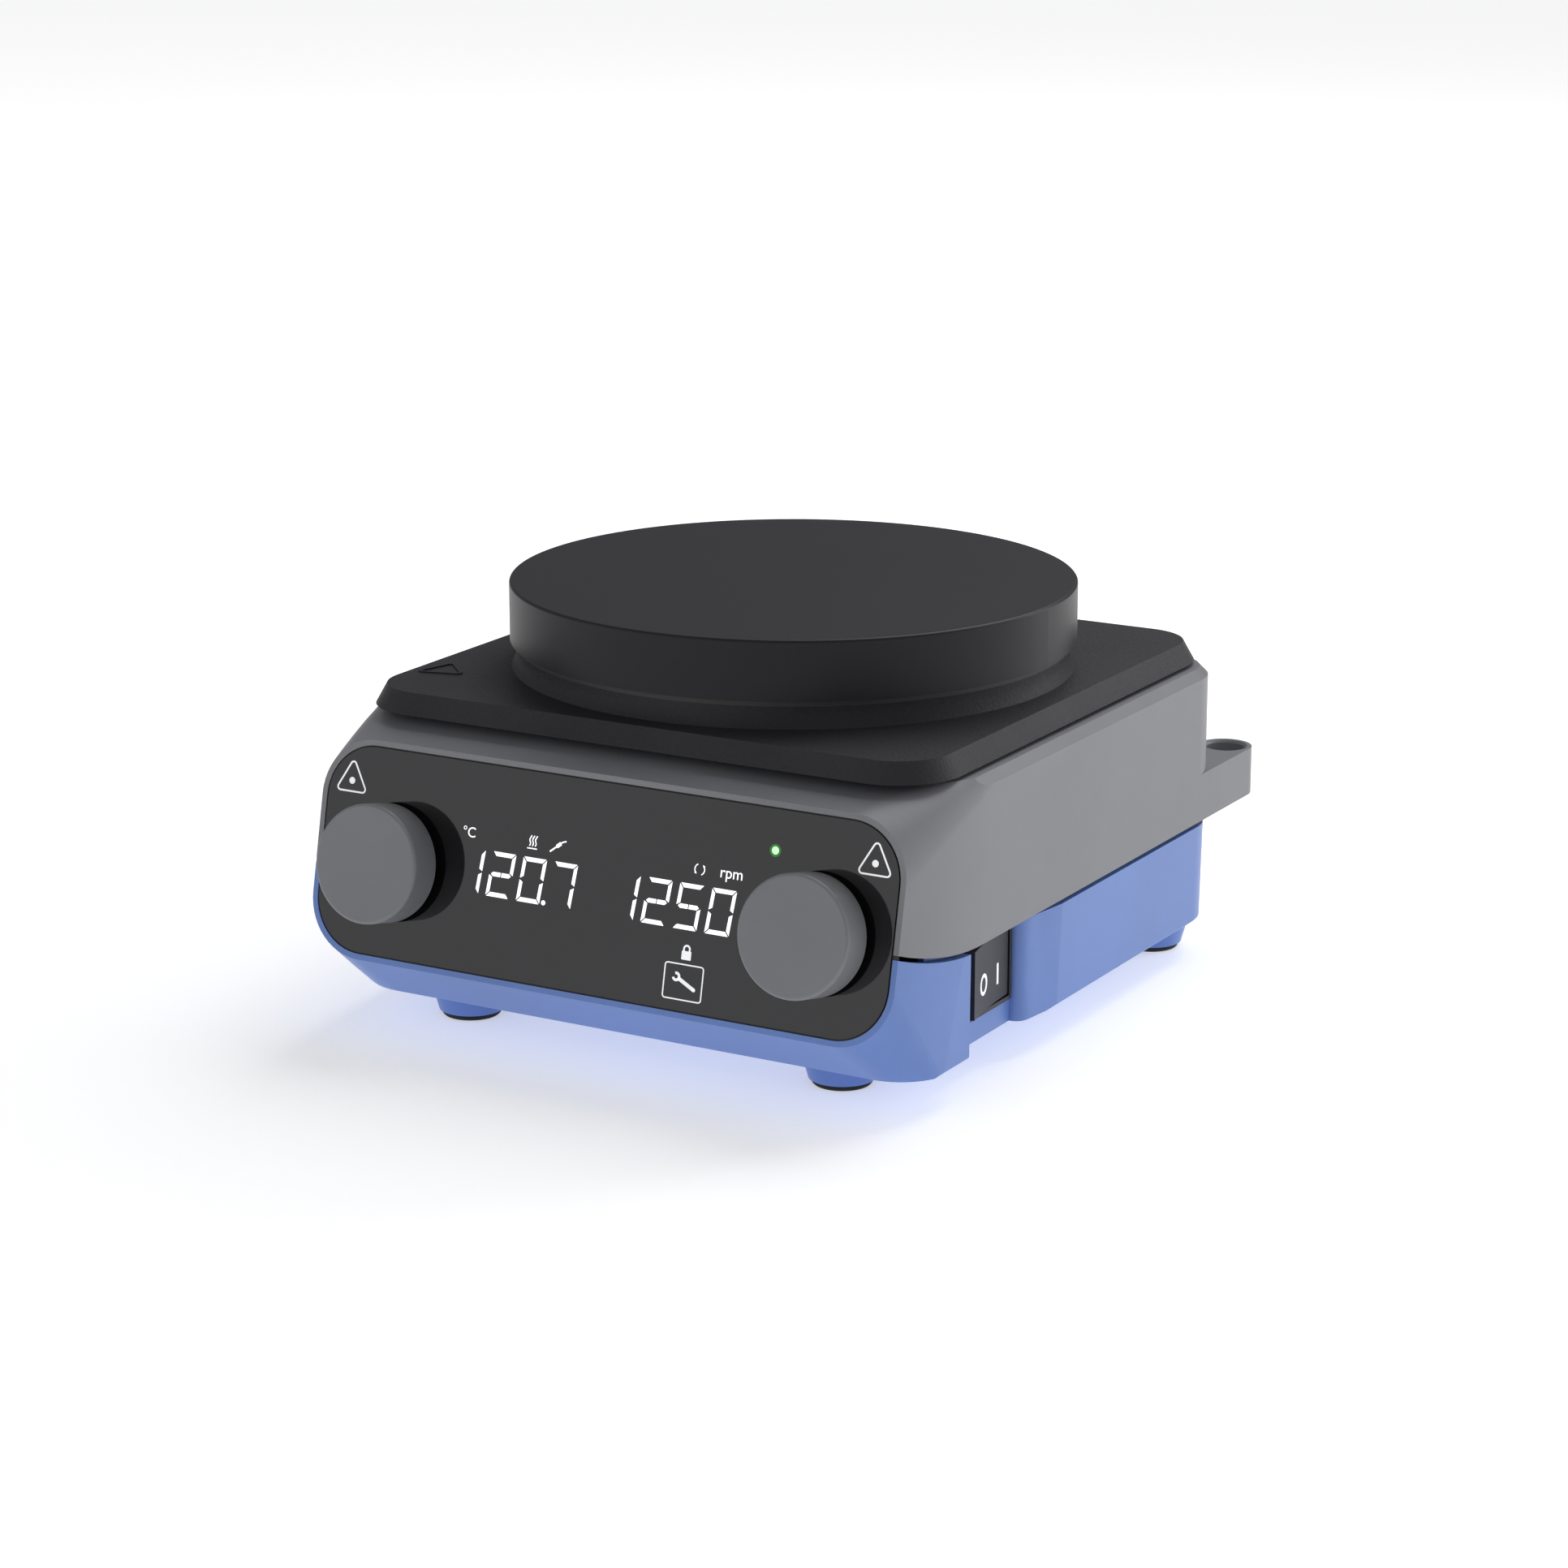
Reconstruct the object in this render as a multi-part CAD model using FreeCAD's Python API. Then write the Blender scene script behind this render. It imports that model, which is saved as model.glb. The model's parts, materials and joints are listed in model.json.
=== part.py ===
import FreeCAD, Part
import math
import os

# Hotplate magnetic stirrer, in millimetres, +Z up, the control panel facing -Y.
# Heights are measured from the surface it stands on. Plan positions are first worked out from the
# axis of the round plate, and everything is moved along Y at the end, so that the origin lies under
# the centre of the overall box.

V = FreeCAD.Vector
UP = V(0, 0, 1)

# ---- driving dimensions: plan ----
plate_diameter = 135.0
cover_margin = 8.6           # splash cover beyond the plate, left and right
cover_margin_ends = 7.6      # splash cover beyond the plate, front and rear
ledge_margin = 3.9           # housing side beyond the cover
rear_margin = 7.5            # housing rear face beyond the plate
panel_margin = 20.6          # centre of the panel's face in front of the plate's edge
rear_corner_radius = 15.5

# ---- driving dimensions: heights ----
base_bottom = 8.9            # underside of the lower housing
base_height = 25.4           # lower housing, up to the joint line along the sides
upper_height = 38.0          # upper housing, from the joint line to its top face
cover_lift = 0.9             # gap between the housing's top face and the cover's lower edge
cover_skirt_height = 4.8
cover_collar_height = 5.0
cover_slope = 2.7            # skirt leans in over its height
cover_corner_radius = 15.5
ring_height = 1.4
plate_rim_height = 14.1

# ---- walls ----
housing_wall = 2.5
top_wall = 3.0
cover_wall = 2.0
top_chamfer = 2.1
joint_gap = 1.1              # dark line between the two housings
lip_wall = 1.5               # inner lip of the lower housing
lip_clearance = 0.2
lip_rise = 2.2
lip_front_setback = 12.0     # lip starts behind the panel's face
base_draft_rear = 1.2
base_draft_side = 0.3
base_edge_chamfer = 0.6

# ---- control panel ----
panel_tilt = 12.0            # degrees, top leaning back
panel_height = 47.7
panel_thickness = 3.0
panel_corner_radius = 12.5
panel_centre_height = 34.8   # above the base's underside
gasket_width = 0.4
bezel_strip = 1.5
bezel_inset = 3.2            # bezel edge inside the housing side
panel_ledge = 2.6            # width of the ledge that the panel seats on
panel_ledge_depth = 2.0
flare_depth = 32.0           # over this depth the bezel flares to the full housing
flare_steps = 8
flare_overlap = 0.005        # flare beyond the side, which trims it
flare_corner_share = 0.36    # corner radii at the end of the flare, of those at the bezel
chin_left_radius = 30.0      # lower left corner at the end of the flare
chin_slope = 0.63
brow_slope = 0.44
seam_rise_radius = 100.0
seam_rise_setback = 33.1     # behind the panel's face the joint line starts to rise

# ---- knobs ----
knob_radius = 13.8
knob_length = 8.4
knob_standoff = 2.06
knob_margin = 19.1           # knob centres inside the panel's ends
knob_drop = 1.95             # knob centres below the panel's centre
knob_wall = 2.0
knob_edge_radius = 0.8
shaft_radius = 3.0
running_clearance = 0.05
shaft_hole_clearance = 0.7
press_travel = 0.7

# ---- plate and what hangs under it ----
plate_edge_radius = 0.7
plate_thickness = 5.0
plate_rim_wall = 5.0
plate_boss_radius = 5.0
standoff_circle_inset = 17.5 # stand-off circle inside the plate's edge
standoff_radius = 4.0
standoff_count = 3
screw_radius = 2.0
screw_head_radius = 3.5
screw_head_height = 2.2
screw_clearance = 0.1
element_thickness = 3.0
element_inner_radius = 14.0
element_margin = 2.0
shield_thickness = 1.2
collar_drop_wall = 2.0
collar_flare = 1.2
ring_inset = 1.5

# ---- motor and magnets ----
motor_radius = 24.0
motor_length = 30.3
motor_wall = 2.5
motor_shaft_radius = 4.0
bearing_radius = 9.0
bearing_height = 5.0
rotor_radius = 17.5
rotor_height = 14.0
air_gap = 0.4
bracket_thickness = 3.0
bracket_width = 40.0
bracket_overlap = 14.0
opening_margin = 8.0         # housing opening inside the stand-off circle
carrier_clearance = 5.0      # magnet carrier inside the opening
carrier_thickness = 3.0
carrier_gap = 1.7
magnet_radius = 9.0
magnet_height = 7.5
magnet_edge = 3.0            # magnets inside the carrier's end

# ---- power switch in the right-hand recess ----
recess_depth = 5.1
recess_front_margin = 3.3    # recess beyond the switch frame, towards the panel
recess_rear_margin = 0.6
recess_corner_length = 20.0
recess_overhang = 12.0
recess_overhang_margin = (3.0, 7.2)    # overhang beyond the recess, front and rear
recess_lip_step = 1.0        # raised lip inside the recess wall's face
switch_setback = 43.1        # centre of the switch behind the panel's face
switch_centre_height = 15.1  # above the base's underside
rocker_length = 21.4
rocker_height = 16.0
rocker_gap = 0.8
switch_shell = 0.5           # wall of the switch body around its opening
switch_frame = 1.0           # frame beyond the opening
switch_frame_thickness = 0.8
switch_depth = 16.0
terminal_length = 5.5
rocker_swing = 14.0          # degrees between its two positions
rocker_proud = 1.0
rocker_dish = 0.5
rocker_pin_radius = 1.0
pivot_depth = 3.2            # pivot behind the frame's face

# ---- feet and base screws ----
front_foot_side_inset = 29.95     # foot centres inside the housing's sides
rear_foot_side_inset = 14.0
foot_front_setback = 22.7    # behind the panel's face
foot_rear_setback = 11.8     # in front of the housing's rear face
boss_top_radius = 9.9
boss_bottom_radius = 7.7
pad_radius = 6.9
pad_visible = 1.4
pad_depth = 2.0
post_radius = 4.5
post_front_shift = (20.3, 10.6)   # front posts from the front feet, inwards and back
post_rear_inset = (14.0, 28.5)    # rear posts inside the housing's side and rear faces
post_floor_gap = 0.2

# ---- stand-rod lug ----
lug_thickness = 11.9
lug_radius = 6.6
lug_reach = 14.3             # rod axis behind the housing's rear face
rod_hole_radius = 4.9
rod_hole_chamfer = 0.6

# ---- electronics ----
board_thickness = 1.6
control_board_depth = 12.5   # front of the control board behind the panel's front face
control_board_margin = 6.0   # control board inside the panel's ends
control_board_height = 32.0
display_clearance = 8.0      # display module inside the encoders
display_height = 18.0
display_thickness = 5.0
led_shift = 11.9             # status light inside the right knob's centre
led_margin = 9.05            # status light below the panel's top edge
led_radius = 1.4
encoder_size = 12.0
encoder_height = 6.0
plunger_radius = 2.6
plunger_height = 1.2
power_board_gap = 1.4        # power board inside the switch terminals
power_board_front_setback = 46.0
power_board_rear_setback = 25.0
power_board_lift = 4.5
board_post_radius = 3.0
board_hole_radius = 1.6
board_hole_inset = 5.0
transformer_width = 22.0
transformer_length = 40.0
transformer_height = 22.0
transformer_y = 4.0
coil_length = 28.0
capacitor_count = 3
capacitor_radius = 6.0
capacitor_height = 20.0
capacitor_pitch = 15.0
heat_sink_width = 44.0
heat_sink_height = 24.0
heat_sink_back = 3.0         # thickness of its back plate, and its distance from the board's rear edge
fin_count = 8
fin_length = 10.0
fin_thickness = 1.6

# ---- driving dimensions: rear connectors and vents ----
inlet_x = -38.0
inlet_width = 28.0
inlet_height = 20.0
inlet_depth = 22.0
inlet_flange = 10.0
flange_thickness = 1.5
flange_corner_radius = 4.0
inlet_mouth_width = 24.4
inlet_mouth_height = 16.6
inlet_mouth_depth = 17.5
blade_size = 2.0
blade_height = 4.0
blade_length = 12.0
small_screw_radius = 1.5
small_head_radius = 2.8
small_head_height = 1.5
probe_x = 22.0
probe_radius = 9.0
connector_height = 18.0      # connector centres above the joint line
vent_length = 22.0
vent_width = 3.0
vent_pitch = 7.0
vent_count = 7

# ---- sizes that follow ----
plate_radius = plate_diameter / 2
cover_half = plate_radius + cover_margin
cover_half_y = plate_radius + cover_margin_ends
body_half = cover_half + ledge_margin
body_rear = plate_radius + rear_margin
panel_y = -(plate_radius + panel_margin)
seam_z = base_bottom + base_height
body_top = seam_z + upper_height
cover_bottom = body_top + cover_lift
cover_top = cover_bottom + cover_skirt_height
collar_top = cover_top + cover_collar_height
plate_bottom = collar_top + ring_height
plate_top = plate_bottom + plate_rim_height
panel_z = base_bottom + panel_centre_height
tilt = math.radians(panel_tilt)
panel_half = body_half - bezel_inset - bezel_strip - gasket_width / 2
bezel_half = body_half - bezel_inset
bezel_half_height = panel_height / 2 + gasket_width / 2 + bezel_strip
bezel_radius = panel_corner_radius + bezel_strip
knob_face = knob_standoff + knob_length
knob_x = panel_half - knob_margin
display_width = 2 * (knob_x - encoder_size / 2 - display_clearance)
control_board_width = 2 * (panel_half - control_board_margin)
led_x = knob_x - led_shift
led_v = panel_height / 2 - led_margin
seam_rise_start = panel_y + seam_rise_setback
lip_front = panel_y + lip_front_setback
switch_face_x = body_half - recess_depth
switch_centre_y = panel_y + switch_setback
switch_z = base_bottom + switch_centre_height
switch_opening_length = rocker_length + 2 * rocker_gap
switch_opening_height = rocker_height + rocker_gap
switch_frame_length = switch_opening_length + 2 * switch_frame
recess_front = switch_centre_y - switch_frame_length / 2 - recess_front_margin
recess_rear = switch_centre_y + switch_frame_length / 2 + recess_rear_margin
front_foot_x = body_half - front_foot_side_inset
rear_foot_x = body_half - rear_foot_side_inset
overhang_front = recess_front - recess_overhang_margin[0]
overhang_rear = recess_rear + recess_overhang_margin[1]
foot_front_y = panel_y + foot_front_setback
foot_rear_y = body_rear - foot_rear_setback
standoff_circle_radius = plate_radius - standoff_circle_inset
opening_radius = standoff_circle_radius - opening_margin
carrier_radius = opening_radius - carrier_clearance
magnet_offset = carrier_radius - magnet_radius - magnet_edge
terminal_end = switch_face_x - switch_depth - terminal_length
power_board_width = 2 * (terminal_end - power_board_gap)
power_board_front = panel_y + power_board_front_setback
power_board_rear = body_rear - power_board_rear_setback
floor_top = base_bottom + housing_wall
power_board_z = floor_top + power_board_lift
connector_z = seam_z + connector_height
lug_x = body_half - lug_radius
lug_y = body_rear + lug_reach

# The overall box runs from the lower edge of the knobs' faces to the end of the lug.
knob_reach = ((knob_face - knob_edge_radius) * math.cos(tilt)
              + (knob_radius - knob_edge_radius) * math.sin(tilt) + knob_edge_radius)
front_end = panel_y - knob_drop * math.sin(tilt) - knob_reach
rear_end = lug_y + lug_radius
shift = V(0, -(front_end + rear_end) / 2, 0)

# The flare ends on the plane y = join_y, behind which the housing is straight-sided.
join_y = panel_y + (flare_depth + (body_top - panel_z) * math.sin(tilt)) / math.cos(tilt) + 1
front_depth = (join_y - panel_y) * math.cos(tilt) + (panel_z - base_bottom) * math.sin(tilt) + 1

# Local frame of the panel: X right, Y up along the panel's face, Z out of it.
PANEL = FreeCAD.Placement(V(0, panel_y, panel_z), FreeCAD.Rotation(V(1, 0, 0), 90 - panel_tilt))

parts = {}


def place_on_panel(shape):
    """Move a shape from the panel's own frame to the object's."""
    placed = shape.copy()
    placed.Placement = PANEL.multiply(placed.Placement)
    return placed


def box(x0, x1, y0, y1, z0, z1):
    return Part.makeBox(x1 - x0, y1 - y0, z1 - z0, V(x0, y0, z0))


def rod(radius, x, y, z0, z1):
    return Part.makeCylinder(radius, z1 - z0, V(x, y, z0), UP)


def tube(outer, inner, x, y, z0, z1):
    return rod(outer, x, y, z0, z1).cut(rod(inner, x, y, z0 - 1, z1 + 1))


def fuse(shapes):
    return shapes[0].multiFuse(shapes[1:]).removeSplitter()


def corner_arc(cx, cy, radius, start, z):
    """Quarter circle that begins at the angle start, in degrees."""
    points = []
    for step in (0, 45, 90):
        angle = math.radians(start + step)
        points.append(V(cx + radius * math.cos(angle), cy + radius * math.sin(angle), z))
    return Part.Arc(*points).toShape(), points[0], points[2]


def outline(x0, x1, y0, y1, radii, z):
    """Closed rectangle with rounded corners; radii go lower left, lower right, upper right, upper left."""
    centres = [(x0 + radii[0], y0 + radii[0]), (x1 - radii[1], y0 + radii[1]),
               (x1 - radii[2], y1 - radii[2]), (x0 + radii[3], y1 - radii[3])]
    arcs = []
    for index, (cx, cy) in enumerate(centres):
        arcs.append(corner_arc(cx, cy, radii[index], 180 + 90 * index, z))
    edges = []
    for index in range(4):
        arc, first, last = arcs[index]
        edges.append(arc)
        edges.append(Part.LineSegment(last, arcs[(index + 1) % 4][1]).toShape())
    return Part.Wire(edges)


def rounded_block(x0, x1, y0, y1, radius, z0, z1):
    face = Part.Face(outline(x0, x1, y0, y1, [radius] * 4, z0))
    return face.extrude(V(0, 0, z1 - z0))


def ruled(wire_a, wire_b):
    return Part.makeLoft([wire_a, wire_b], True, True)


def flared_front(inset, depth_start):
    """The housing's front, swept back from the bezel's outline, offset inwards by inset."""
    wires = []
    for step in range(flare_steps + 1):
        depth = depth_start + (front_depth - depth_start) * step / flare_steps
        share = min(depth / flare_depth, 1.0)
        half = bezel_half + bezel_inset * (1 - (1 - share) ** 2) + flare_overlap - inset
        low = -bezel_half_height - chin_slope * depth + inset
        high = bezel_half_height + brow_slope * depth - inset
        radius = bezel_radius * (1 - (1 - flare_corner_share) * share) - inset * 0.6
        left_radius = bezel_radius + (chin_left_radius - bezel_radius) * share - inset * 0.6
        wires.append(outline(-half, half, low, high, [left_radius, radius, radius, radius], -depth))
    return place_on_panel(Part.makeLoft(wires, True, False))


def plan_envelope(inset, z0, z1, chamfer):
    """Straight-sided envelope of the housing, open-ended towards the front."""
    far_front = panel_y * 2
    radii = [1.0, 1.0, rear_corner_radius - inset, rear_corner_radius - inset]
    wire = outline(-body_half + inset, body_half - inset, far_front, body_rear - inset, radii, z0)
    solid = Part.Face(wire).extrude(V(0, 0, z1 - z0))
    if chamfer == 0:
        return solid
    top_edges = []
    for edge in solid.Edges:
        low = min(vertex.Z for vertex in edge.Vertexes)
        if low > z1 - 0.01:
            top_edges.append(edge)
    return solid.makeChamfer(chamfer, top_edges)


def body_form(inset, depth_start, z0, z1, chamfer):
    """Outer form of both housings together, offset inwards by inset."""
    block = plan_envelope(inset, z0, z1, chamfer).cut(box(-200, 200, panel_y * 3, join_y, -50, 300))
    front = flared_front(inset, depth_start).common(plan_envelope(inset, z0, z1, chamfer))
    return block.fuse(front).removeSplitter()


def above_seam(offset):
    """Everything above the joint line, which is level along the sides and rises towards the bezel."""
    z = seam_z + offset
    start = seam_rise_start
    reach = seam_rise_radius * 0.62
    rise = seam_rise_radius - math.sqrt(seam_rise_radius ** 2 - reach ** 2)
    half_reach = seam_rise_radius * math.sin(math.asin(0.62) / 2)
    half_rise = seam_rise_radius * (1 - math.cos(math.asin(0.62) / 2))
    level = V(-150, start, z)
    middle = V(-150, start - half_reach, z + half_rise)
    end = V(-150, start - reach, z + rise)
    corners = [V(-150, start - reach, 300), V(-150, 250, 300), V(-150, 250, z)]
    edges = [Part.Arc(level, middle, end).toShape(),
             Part.LineSegment(end, corners[0]).toShape(),
             Part.LineSegment(corners[0], corners[1]).toShape(),
             Part.LineSegment(corners[1], corners[2]).toShape(),
             Part.LineSegment(corners[2], level).toShape()]
    return Part.Face(Part.Wire(edges)).extrude(V(300, 0, 0))


def panel_block(half, half_height, radius, w0, w1):
    """Rounded block in the panel's frame, between two distances from its face."""
    shape = rounded_block(-half, half, -half_height, half_height, radius, w0, w1)
    return place_on_panel(shape)


def around_plate(count, start, radius):
    for index in range(count):
        angle = math.radians(start + 360.0 * index / count)
        yield radius * math.cos(angle), radius * math.sin(angle)


def standoff_places():
    return list(around_plate(standoff_count, 90, standoff_circle_radius))


def base_post_places():
    front = (front_foot_x - post_front_shift[0], foot_front_y + post_front_shift[1])
    rear = (body_half - post_rear_inset[0], body_rear - post_rear_inset[1])
    return [(sx * x, y) for x, y in (front, rear) for sx in (-1, 1)]


def foot_places():
    places = ((front_foot_x, foot_front_y), (rear_foot_x, foot_rear_y))
    return [(sx * x, y) for x, y in places for sx in (-1, 1)]


def bracket_screw_places():
    reach = opening_radius + bracket_overlap / 2
    return [(sx * reach, sy * bracket_width * 0.3) for sx in (-1, 1) for sy in (-1, 1)]


def panel_pocket():
    """Space that the panel and its gasket fill, and the window behind them."""
    pocket_half = panel_half + gasket_width
    pocket_height = panel_height / 2 + gasket_width
    pocket = panel_block(pocket_half, pocket_height, panel_corner_radius + gasket_width,
                         -panel_thickness, 20)
    window = panel_block(panel_half - panel_ledge, panel_height / 2 - panel_ledge,
                         panel_corner_radius - panel_ledge, -panel_thickness - panel_ledge_depth - 6, 0)
    return pocket.fuse(window)


def cavity():
    depth = panel_thickness + panel_ledge_depth
    low = base_bottom + housing_wall
    high = body_top - top_wall
    return body_form(housing_wall, depth, low, high, 0)


# ---- rear connectors ----
def inlet_outline(grow, y0, y1):
    half = inlet_width / 2 + grow
    tall = inlet_height / 2 + grow
    return box(inlet_x - half, inlet_x + half, y0, y1, connector_z - tall, connector_z + tall)


def rear_rod(radius, x, z, y0, y1):
    return Part.makeCylinder(radius, y1 - y0, V(x, y0, z), V(0, 1, 0))


def inlet_screw_places():
    reach = inlet_width / 2 + inlet_flange / 2
    return [inlet_x - reach, inlet_x + reach]


# ---- housings ----
def make_upper_housing():
    shell = body_form(0, 0, base_bottom, body_top, top_chamfer).cut(cavity())
    shell = shell.common(above_seam(0)).cut(panel_pocket())
    shell = shell.cut(rod(opening_radius, 0, 0, body_top - 10, body_top + 10))
    lug = box(lug_x - lug_radius, body_half, body_rear - rear_corner_radius, lug_y,
              seam_z, seam_z + lug_thickness)
    lug = lug.fuse(rod(lug_radius, lug_x, lug_y, seam_z, seam_z + lug_thickness))
    lug = lug.cut(cavity())
    overhang = box(body_half - recess_overhang, body_half - housing_wall, overhang_front, overhang_rear,
                   seam_z, seam_z + housing_wall)
    posts = []
    for x, y in base_post_places():
        posts.append(rod(post_radius, x, y, base_bottom + housing_wall + post_floor_gap, body_top - 1))
    shell = fuse([shell, lug, overhang] + posts)
    holes = [rod(rod_hole_radius, lug_x, lug_y, seam_z - 1, seam_z + lug_thickness + 1)]
    bevel = 2 * rod_hole_chamfer
    holes.append(Part.makeCone(rod_hole_radius, rod_hole_radius + bevel, bevel,
                               V(lug_x, lug_y, seam_z + lug_thickness - rod_hole_chamfer), UP))
    for x, y in base_post_places():
        holes.append(rod(screw_radius, x, y, base_bottom, base_bottom + 18))
    for x, y in standoff_places():
        holes.append(rod(screw_radius + screw_clearance, x, y, body_top - 10, body_top + 1))
    for x, y in bracket_screw_places():
        holes.append(rod(screw_radius, x, y, body_top - 10, body_top - 0.6))
    holes.append(inlet_outline(0.2, body_rear - 10, body_rear + 5))
    holes.append(rear_rod(probe_radius + 0.2, probe_x, connector_z, body_rear - 10, body_rear + 5))
    for x in inlet_screw_places():
        holes.append(rear_rod(small_screw_radius, x, connector_z, body_rear - 10, body_rear + 5))
    for hole in holes:
        shell = shell.cut(hole)
    return shell.removeSplitter()


def recess_tool(grow):
    """Side recess around the switch; its rear corner is a rounded quarter ellipse."""
    floor_x = body_half - recess_depth - grow
    outer = body_half + 20
    front = recess_front - grow
    rear = recess_rear + grow
    ellipse_end = rear + recess_corner_length
    start = V(floor_x, rear, 0)
    end = V(body_half, ellipse_end, 0)
    centre = V(floor_x, ellipse_end, 0)
    half_x = end.x - floor_x
    middle = V(centre.x + half_x * math.sin(math.radians(45)),
               centre.y - recess_corner_length * math.cos(math.radians(45)), 0)
    curve = Part.BSplineCurve()
    tangents = [V(half_x, 0, 0), V(half_x, recess_corner_length, 0), V(0, recess_corner_length, 0)]
    curve.interpolate(Points=[start, middle, end], Tangents=tangents, TangentFlags=[True, False, True])
    corners = [V(outer, ellipse_end, 0), V(outer, front, 0), V(floor_x, front, 0)]
    edges = [curve.toShape(),
             Part.LineSegment(end, corners[0]).toShape(),
             Part.LineSegment(corners[0], corners[1]).toShape(),
             Part.LineSegment(corners[1], corners[2]).toShape(),
             Part.LineSegment(corners[2], start).toShape()]
    return Part.Face(Part.Wire(edges)).extrude(V(0, 0, seam_z + 10))


def base_outline(side, rear, corner, z):
    """Plan outline of the lower housing, inset at the sides and the rear, open-ended towards the front."""
    return outline(-body_half + side, body_half - side, panel_y * 2, body_rear - rear,
                   [1, 1, corner, corner], z)


def base_drafted():
    """Envelope that narrows the lower housing slightly downwards, with a bevelled lower edge."""
    low = base_outline(base_draft_side, base_draft_rear, rear_corner_radius, base_bottom)
    high = base_outline(0, 0, rear_corner_radius, seam_z + 15)
    edge = base_edge_chamfer
    rise = rear_corner_radius
    bevel_low = base_outline(base_draft_side + edge, base_draft_rear + edge, rear_corner_radius - edge,
                             base_bottom)
    bevel_high = base_outline(base_draft_side + edge - rise, base_draft_rear + edge - rise,
                              rear_corner_radius - edge + rise, base_bottom + rise)
    bevel = ruled(bevel_low, bevel_high)
    above = box(-200, 200, panel_y * 3, 200, base_bottom + rise - 0.5, 300)
    return ruled(low, high).common(bevel.fuse(above))


def make_lip():
    """Inner lip that closes the joint, with its root in the wall; it is lower along the switch recess."""
    outer = housing_wall + lip_clearance
    hollow = body_form(outer + lip_wall, 3, base_bottom + 4, body_top + 1, 0)
    lip = body_form(outer, 6, base_bottom + 5, body_top, 0).cut(hollow).cut(above_seam(lip_rise))
    root = body_form(housing_wall - 1, 6, base_bottom + 5, body_top, 0).cut(hollow)
    root = root.cut(above_seam(-joint_gap - 1))
    lip = lip.fuse(root).common(above_seam(-joint_gap - 3))
    lip = lip.cut(box(-200, 200, panel_y * 2, lip_front, 0, 200))
    relief = box(body_half - recess_overhang - 2, 200, overhang_front - 0.3, overhang_rear + 0.3, 0, 200)
    lip = lip.cut(relief)
    recess_lip = recess_tool(housing_wall).cut(recess_tool(recess_lip_step))
    recess_lip = recess_lip.common(body_form(outer, 6, base_bottom + 5, body_top, 0))
    recess_lip = recess_lip.common(box(0, 200, -200, 200, seam_z - joint_gap - 1, seam_z - lip_clearance))
    return lip.fuse(recess_lip)


def make_lower_housing():
    outer = body_form(0, 0, base_bottom, body_top, 0).common(base_drafted())
    outer = outer.cut(recess_tool(0))
    inner = cavity().cut(recess_tool(housing_wall))
    shell = outer.cut(inner).cut(above_seam(-joint_gap))
    lip = make_lip()
    bosses = []
    for x, y in foot_places():
        boss = Part.makeCone(boss_bottom_radius, boss_top_radius, base_bottom + 0.5 - pad_visible,
                             V(x, y, pad_visible), UP)
        bosses.append(boss)
    shell = fuse([shell, lip] + bosses)
    shell = shell.cut(panel_pocket())
    for x, y in foot_places():
        shell = shell.cut(rod(pad_radius + 0.05, x, y, 0, pad_visible + pad_depth))
    for x, y in base_post_places():
        shell = shell.cut(rod(screw_radius + screw_clearance, x, y, 0, base_bottom + 10))
        shell = shell.cut(rod(screw_head_radius + screw_clearance, x, y, 0, base_bottom + 1.2))
    shell = shell.cut(switch_shell_box(0.05, switch_face_x - switch_depth, switch_face_x + 1))
    for index in range(vent_count):
        y = (index - (vent_count - 1) / 2) * vent_pitch
        for side in (-1, 1):
            x = side * (power_board_width / 2 - vent_length / 2)
            shell = shell.cut(box(x - vent_length / 2, x + vent_length / 2, y - vent_width / 2,
                                  y + vent_width / 2, 0, base_bottom + 8))
    return shell.removeSplitter()


# ---- power switch ----
def switch_box(length, height, x0, x1):
    return box(x0, x1, switch_centre_y - length / 2, switch_centre_y + length / 2,
               switch_z - height / 2, switch_z + height / 2)


def switch_shell_box(grow, x0, x1):
    wall = 2 * (switch_shell + grow)
    return switch_box(switch_opening_length + wall, switch_opening_height + wall, x0, x1)


def pivot_point():
    return V(switch_face_x + switch_frame_thickness - pivot_depth, switch_centre_y, switch_z)


def rocker_pin_half():
    return switch_opening_height / 2 + switch_shell


def make_switch_body():
    frame = switch_box(switch_frame_length, switch_opening_height + 2 * switch_frame, switch_face_x,
                       switch_face_x + switch_frame_thickness)
    body = switch_shell_box(0, switch_face_x - switch_depth, switch_face_x)
    hollow = switch_box(switch_opening_length, switch_opening_height, switch_face_x - switch_depth + 3,
                        switch_face_x + 2)
    pivot = pivot_point()
    half = rocker_pin_half()
    pin_hole = rod(rocker_pin_radius, pivot.x, pivot.y, pivot.z - half, pivot.z + half)
    return frame.fuse(body).cut(hollow).cut(pin_hole).removeSplitter()


def make_rocker():
    """Rocker in its switched-on position, with the rear half pressed in."""
    pivot = pivot_point()
    half = rocker_length / 2
    z0 = pivot.z - rocker_height / 2
    edge = pivot_depth + rocker_proud
    dish = edge - rocker_dish
    points = [V(edge, -half, z0), V(edge - 5.0, -half, z0), V(-5.0, -3.0, z0), V(-5.0, 3.0, z0),
              V(edge - 5.0, half, z0), V(edge, half, z0)]
    edges = [Part.Arc(points[5], V(dish, 0, z0), points[0]).toShape()]
    for index in range(5):
        edges.append(Part.LineSegment(points[index], points[index + 1]).toShape())
    shape = Part.Face(Part.Wire(edges)).extrude(V(0, 0, rocker_height))
    shape = shape.cut(rod(rocker_pin_radius + running_clearance, 0, 0, z0 - 1, z0 + rocker_height + 1))
    shape.rotate(V(0, 0, 0), UP, rocker_swing / 2)
    shape.translate(V(pivot.x, pivot.y, 0))
    return shape


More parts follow.
